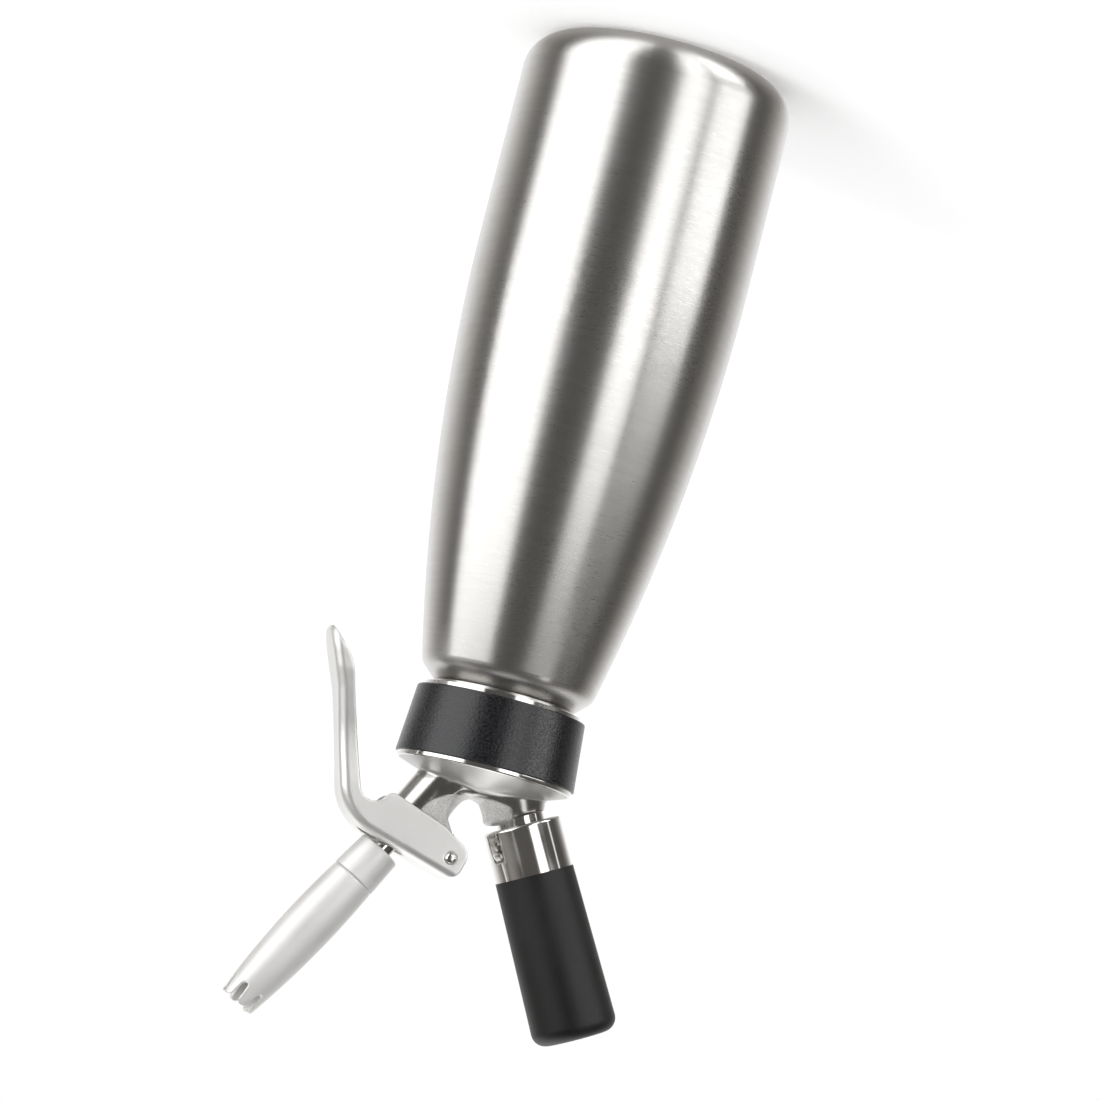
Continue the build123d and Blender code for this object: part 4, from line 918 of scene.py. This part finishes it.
def blasted_patch(finish):
    """One round the notch, inside an ellipse in X and Z and on the charger arm's inner side, and
    nothing past it."""
    sketch = finish.sketch
    place = sketch.add("ShaderNodeSeparateXYZ", {0: finish.place}).outputs
    squares = [
        sketch.math("POWER", sketch.math("DIVIDE", offset, reach * MM), 2.0)
        for offset, reach in (
            (sketch.math("SUBTRACT", place["X"], BLAST_CENTRE[0] * MM), BLAST_REACH[0]),
            (sketch.math("SUBTRACT", place["Z"], BLAST_CENTRE[1] * MM), BLAST_REACH[1]),
        )
    ]
    inside = sketch.ramp(sketch.math("ADD", *squares), *BLAST_EDGE, 1.0, 0.0)
    across = sketch.dot(finish.place, (CHARGER_WAY[2], 0.0, -CHARGER_WAY[0]))
    edge = (BLAST_SIDE - APEX[2] * CHARGER_WAY[0]) * MM
    inner = sketch.ramp(across, edge - BLAST_FADE * MM, edge + BLAST_FADE * MM)
    return sketch.math("MULTIPLY", inside, inner)


def on_dome(finish):
    """One on the dome's sphere, nothing above it."""
    ends = {0: finish.place, 1: (0.0, 0.0, DOME_CENTRE * MM)}
    spread = finish.sketch.add("ShaderNodeVectorMath", ends, operation="DISTANCE").outputs["Value"]
    start, stop = ((DOME_RADIUS + over) * MM for over in DOME_FADE)
    return finish.sketch.ramp(spread, start, stop, 1.0, 0.0)


def cast_steel():
    """Cast head: a satin dome, bright arms, and a blasted grain on the web round the notch."""
    finish = Finish("cast_steel", Metallic=1.0)
    sketch = finish.sketch
    blasted, dome = blasted_patch(finish), on_dome(finish)
    grain = finish.effect(CAST_GRAIN, Scale=2400.0)
    cloud = finish.effect(HANDLING, Scale=120.0)["Cloud"]
    speckle = sketch.ramp(grain["Speckle"], 0.0, 1.0, DULLEST_SPECKLE, 1.0)
    finish.colour(sketch.math("MULTIPLY", blasted, speckle))
    rough = sketch.math("MULTIPLY_ADD", cloud, CAST_CLOUD, sketch.math("MULTIPLY", dome, DOME_SATIN))
    finish.roughness(sketch.math("MAXIMUM", rough, blasted))
    amount = sketch.ramp(blasted, 0.0, 1.0, LEAST_GRAIN, 1.0)
    finish.bump(sketch.math("MULTIPLY", grain["Height"], amount))
    scattered = sketch.math("MULTIPLY", sketch.math("MAXIMUM", blasted, dome), -SCATTER)
    sketch.feed(finish.shader.inputs["Metallic"], sketch.math("ADD", scattered, 1.0))
    return finish.material


def polished_steel():
    """Mirror-polished turned steel with the faintest haze."""
    finish = Finish("polished_steel", Metallic=1.0)
    cloud = finish.effect(HANDLING, Scale=90.0)["Cloud"]
    finish.colour(cloud)
    finish.roughness(cloud)
    return finish.material


def lever_steel():
    """Pressed sheet, brushed to a pale satin."""
    finish = Finish("lever_steel", Metallic=0.84)
    lines = finish.effect(BRUSHED_LINES, Squeeze=(0.12, 1.0, 0.12), Scale=1800.0)
    grain = finish.effect(CAST_GRAIN, Scale=3000.0)
    cloud = finish.effect(HANDLING, Scale=45.0)["Cloud"]
    finish.colour(lines["Streak"])
    finish.roughness(cloud)
    finish.bump(finish.sketch.math("ADD", lines["Height"], grain["Height"]))
    return finish.material


def ring_plastic():
    """Black moulded ring with a fine leather-like grain and a satin sheen."""
    finish = Finish("ring_plastic", Specular_IOR_Level=0.6)
    grain = finish.effect(CAST_GRAIN, Scale=1300.0)
    finish.colour(grain["Speckle"])
    finish.roughness(grain["Speckle"])
    finish.bump(grain["Height"])
    return finish.material


def plain_finish(name, grain_scale, cloud_scale=90.0, **constants):
    """Two close colours that drift in a slow cloud, with a fine grain: the pearl satin of the
    nozzle, the soft-touch black sleeve, and the small inner pieces."""
    finish = Finish(name, **constants)
    grain = finish.effect(CAST_GRAIN, Scale=grain_scale)
    cloud = finish.effect(HANDLING, Scale=cloud_scale)["Cloud"]
    finish.colour(cloud)
    finish.roughness(cloud)
    finish.bump(grain["Height"])
    return finish.material


def all_finishes():
    """One material for each material slot of the construction's record."""
    return {
        "bottle_steel": bottle_steel(),
        "cast_steel": cast_steel(),
        "polished_steel": polished_steel(),
        "lever_steel": lever_steel(),
        "nozzle_steel": plain_finish("nozzle_steel", 5000.0, 60.0, Metallic=0.78),
        "ring_plastic": ring_plastic(),
        "grip_rubber": plain_finish("grip_rubber", 4200.0, 50.0, Specular_IOR_Level=0.5),
        "seal_rubber": plain_finish("seal_rubber", 3000.0),
        "guide_plastic": plain_finish("guide_plastic", 2500.0),
        "spring_steel": plain_finish("spring_steel", 4000.0, Metallic=1.0),
        "brass": plain_finish("brass", 3000.0, Metallic=1.0),
        "charger_steel": plain_finish("charger_steel", 2500.0, Metallic=1.0),
    }


# ---- studio ----
def studio_camera():
    """Camera at its place, turned by azimuth, elevation and roll."""
    ca, sa = math.cos(CAMERA_AZIMUTH), math.sin(CAMERA_AZIMUTH)
    ce, se = math.cos(CAMERA_ELEVATION), math.sin(CAMERA_ELEVATION)
    back = Vector((sa * ce, -ca * ce, se))
    level = Vector((ca, sa, 0.0))
    upright = back.cross(level)
    right = level * math.cos(CAMERA_ROLL) + upright * math.sin(CAMERA_ROLL)
    turn = Matrix((right, back.cross(right), back)).transposed()
    data = bpy.data.cameras.new("camera")
    data.sensor_width = CAMERA_SENSOR
    data.lens = CAMERA_LENS
    data.clip_start, data.clip_end = CAMERA_CLIP
    camera = bpy.data.objects.new("camera", data)
    camera.matrix_world = Matrix.Translation(CAMERA_PLACE) @ turn.to_4x4()
    bpy.context.scene.collection.objects.link(camera)
    bpy.context.scene.camera = camera


def studio_world():
    """Soft studio that gloss and glass mirror: white paper behind the object and over it, a bright
    ceiling, a dim room before it, and soft panels round it, placed by azimuth from the camera and by
    sine of elevation.  All other rays see plain white."""
    world = bpy.data.worlds.new("studio")
    bpy.context.scene.world = world
    world.use_nodes = True
    world.node_tree.nodes.clear()
    sketch = Sketch(world.node_tree)
    way = sketch.add("ShaderNodeTexCoord").outputs["Generated"]
    ca, sa = math.cos(CAMERA_AZIMUTH), math.sin(CAMERA_AZIMUTH)
    towards = sketch.dot(way, (sa, -ca, 0.0))
    rightwards = sketch.dot(way, (-ca, -sa, 0.0))
    azimuth = sketch.math("ARCTAN2", rightwards, towards)
    height = sketch.add("ShaderNodeSeparateXYZ", {0: way}).outputs["Z"]

    def panel(level, left, right, low, high, soft, soft_height):
        """Evenly bright panel between two azimuths in degrees and two sines of elevation."""
        left, right, soft = math.radians(left), math.radians(right), math.radians(soft)
        across = sketch.math(
            "MULTIPLY",
            sketch.ramp(azimuth, left - soft, left + soft),
            sketch.ramp(azimuth, right - soft, right + soft, 1.0, 0.0),
        )
        upright = sketch.math(
            "MULTIPLY",
            sketch.ramp(height, low - soft_height, low + soft_height),
            sketch.ramp(height, high - soft_height, high + soft_height, 1.0, 0.0),
        )
        return sketch.math("MULTIPLY", sketch.math("MULTIPLY", across, upright), level)

    middle = math.radians(PAPER_MIDDLE)
    sideways = sketch.math("ABSOLUTE", sketch.math("SUBTRACT", azimuth, middle))
    paper = sketch.math(
        "MULTIPLY",
        sketch.ramp(sideways, *(math.radians(edge) for edge in PAPER_EDGES)),
        sketch.ramp(height, *PAPER_FOOT, PAPER_FOOT_LEVEL, 1.0),
    )
    overhead = sketch.math(
        "MULTIPLY",
        sketch.ramp(sideways, *(math.radians(edge) for edge in OVERHEAD_EDGES)),
        sketch.ramp(height, *OVERHEAD_HEIGHTS, 0.0, OVERHEAD_LEVEL),
    )
    ceiling = sketch.ramp(height, *CEILING_HEIGHTS, 0.0, CEILING_LEVEL)
    light = sketch.math("MAXIMUM", sketch.math("ADD", paper, overhead), ceiling)
    for values in PANELS:
        light = sketch.math("ADD", light, panel(*values))
    colour = sketch.tint(sketch.ramp(light, 0.0, 1.0), WARM, WHITE)
    strength = sketch.math("ADD", light, ROOM_LEVEL)
    studio = sketch.add("ShaderNodeBackground", {"Color": colour, "Strength": strength})
    white = sketch.add("ShaderNodeBackground", {"Color": WHITE, "Strength": 1.0})
    path = sketch.add("ShaderNodeLightPath").outputs
    mirrored = sketch.math("MAXIMUM", path["Is Glossy Ray"], path["Is Transmission Ray"])
    mixed = sketch.add(
        "ShaderNodeMixShader", {0: mirrored, 1: white.outputs[0], 2: studio.outputs[0]}
    )
    sketch.add("ShaderNodeOutputWorld", {"Surface": mixed.outputs[0]})


def studio_floor():
    """Pale paper floor at the height of the base, lifted towards white for the camera alone."""
    corners = FLOOR_REACH * np.array([(-1, -1, 0), (1, -1, 0), (1, 1, 0), (-1, 1, 0)])
    floor = new_piece("floor", corners, [[0, 1, 2, 3]])
    paper = Finish("paper", Roughness=0.9, Specular_IOR_Level=0.1)
    cloud = paper.effect(HANDLING, Scale=2.0)["Cloud"]
    paper.colour(cloud)
    paper.shader.inputs["Emission Color"].default_value = WHITE
    seen = paper.sketch.add("ShaderNodeLightPath").outputs["Is Camera Ray"]
    lift = paper.sketch.math("MULTIPLY", seen, FLOOR_LIFT)
    paper.sketch.feed(paper.shader.inputs["Emission Strength"], lift)
    floor.data.materials.append(paper.material)
    floor.visible_glossy = False


def studio_lamp(name, place, aim, size, power):
    """Square soft lamp that looks at a point."""
    data = bpy.data.lights.new(name, "AREA")
    data.shape = "SQUARE"
    data.size = size
    data.energy = power
    lamp = bpy.data.objects.new(name, data)
    lamp.visible_glossy = False
    way = Vector(aim) - Vector(place)
    lamp.matrix_world = Matrix.Translation(place) @ way.to_track_quat("-Z", "Y").to_matrix().to_4x4()
    bpy.context.scene.collection.objects.link(lamp)


# ---- putting it together ----
finishes = all_finishes()
slots = {part["node"]: part["material_slot"] for part in frame["record"]["subparts"]}
for node, piece in frame["nodes"].items():
    piece.data.materials.clear()
    piece.data.materials.append(finishes[slots[node]])

dress(head_body(), "head", finishes["cast_steel"], "cast_steel", "head_casting")
dress(head_foot(), "head", finishes["polished_steel"], "polished_steel", "head_casting")
dress(head_rim(), "head", finishes["polished_steel"], "polished_steel", "head_casting")
dress(charger_stub(), "head", finishes["polished_steel"], "polished_steel", "head_casting")
dress(lever_pressing(), "lever", finishes["lever_steel"], "lever_steel", "lever")
dress(domed_pin(), "lever", finishes["polished_steel"], "polished_steel", "lever_pin")
dress(nozzle_barrel(), "nozzle", finishes["nozzle_steel"], "nozzle_steel", "nozzle_tip")

seats = spring_seats()
coil = valve_coil(*seats)
stand_for(coil, finishes["spring_steel"], "spring_steel", "valve_spring")
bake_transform(coil)

studio_camera()
studio_world()
studio_floor()
studio_lamp("key_lamp", LAMP_PLACE, LAMP_AIM, LAMP_SIZE, LAMP_POWER)

bpy.context.scene.view_settings.view_transform = "Standard"
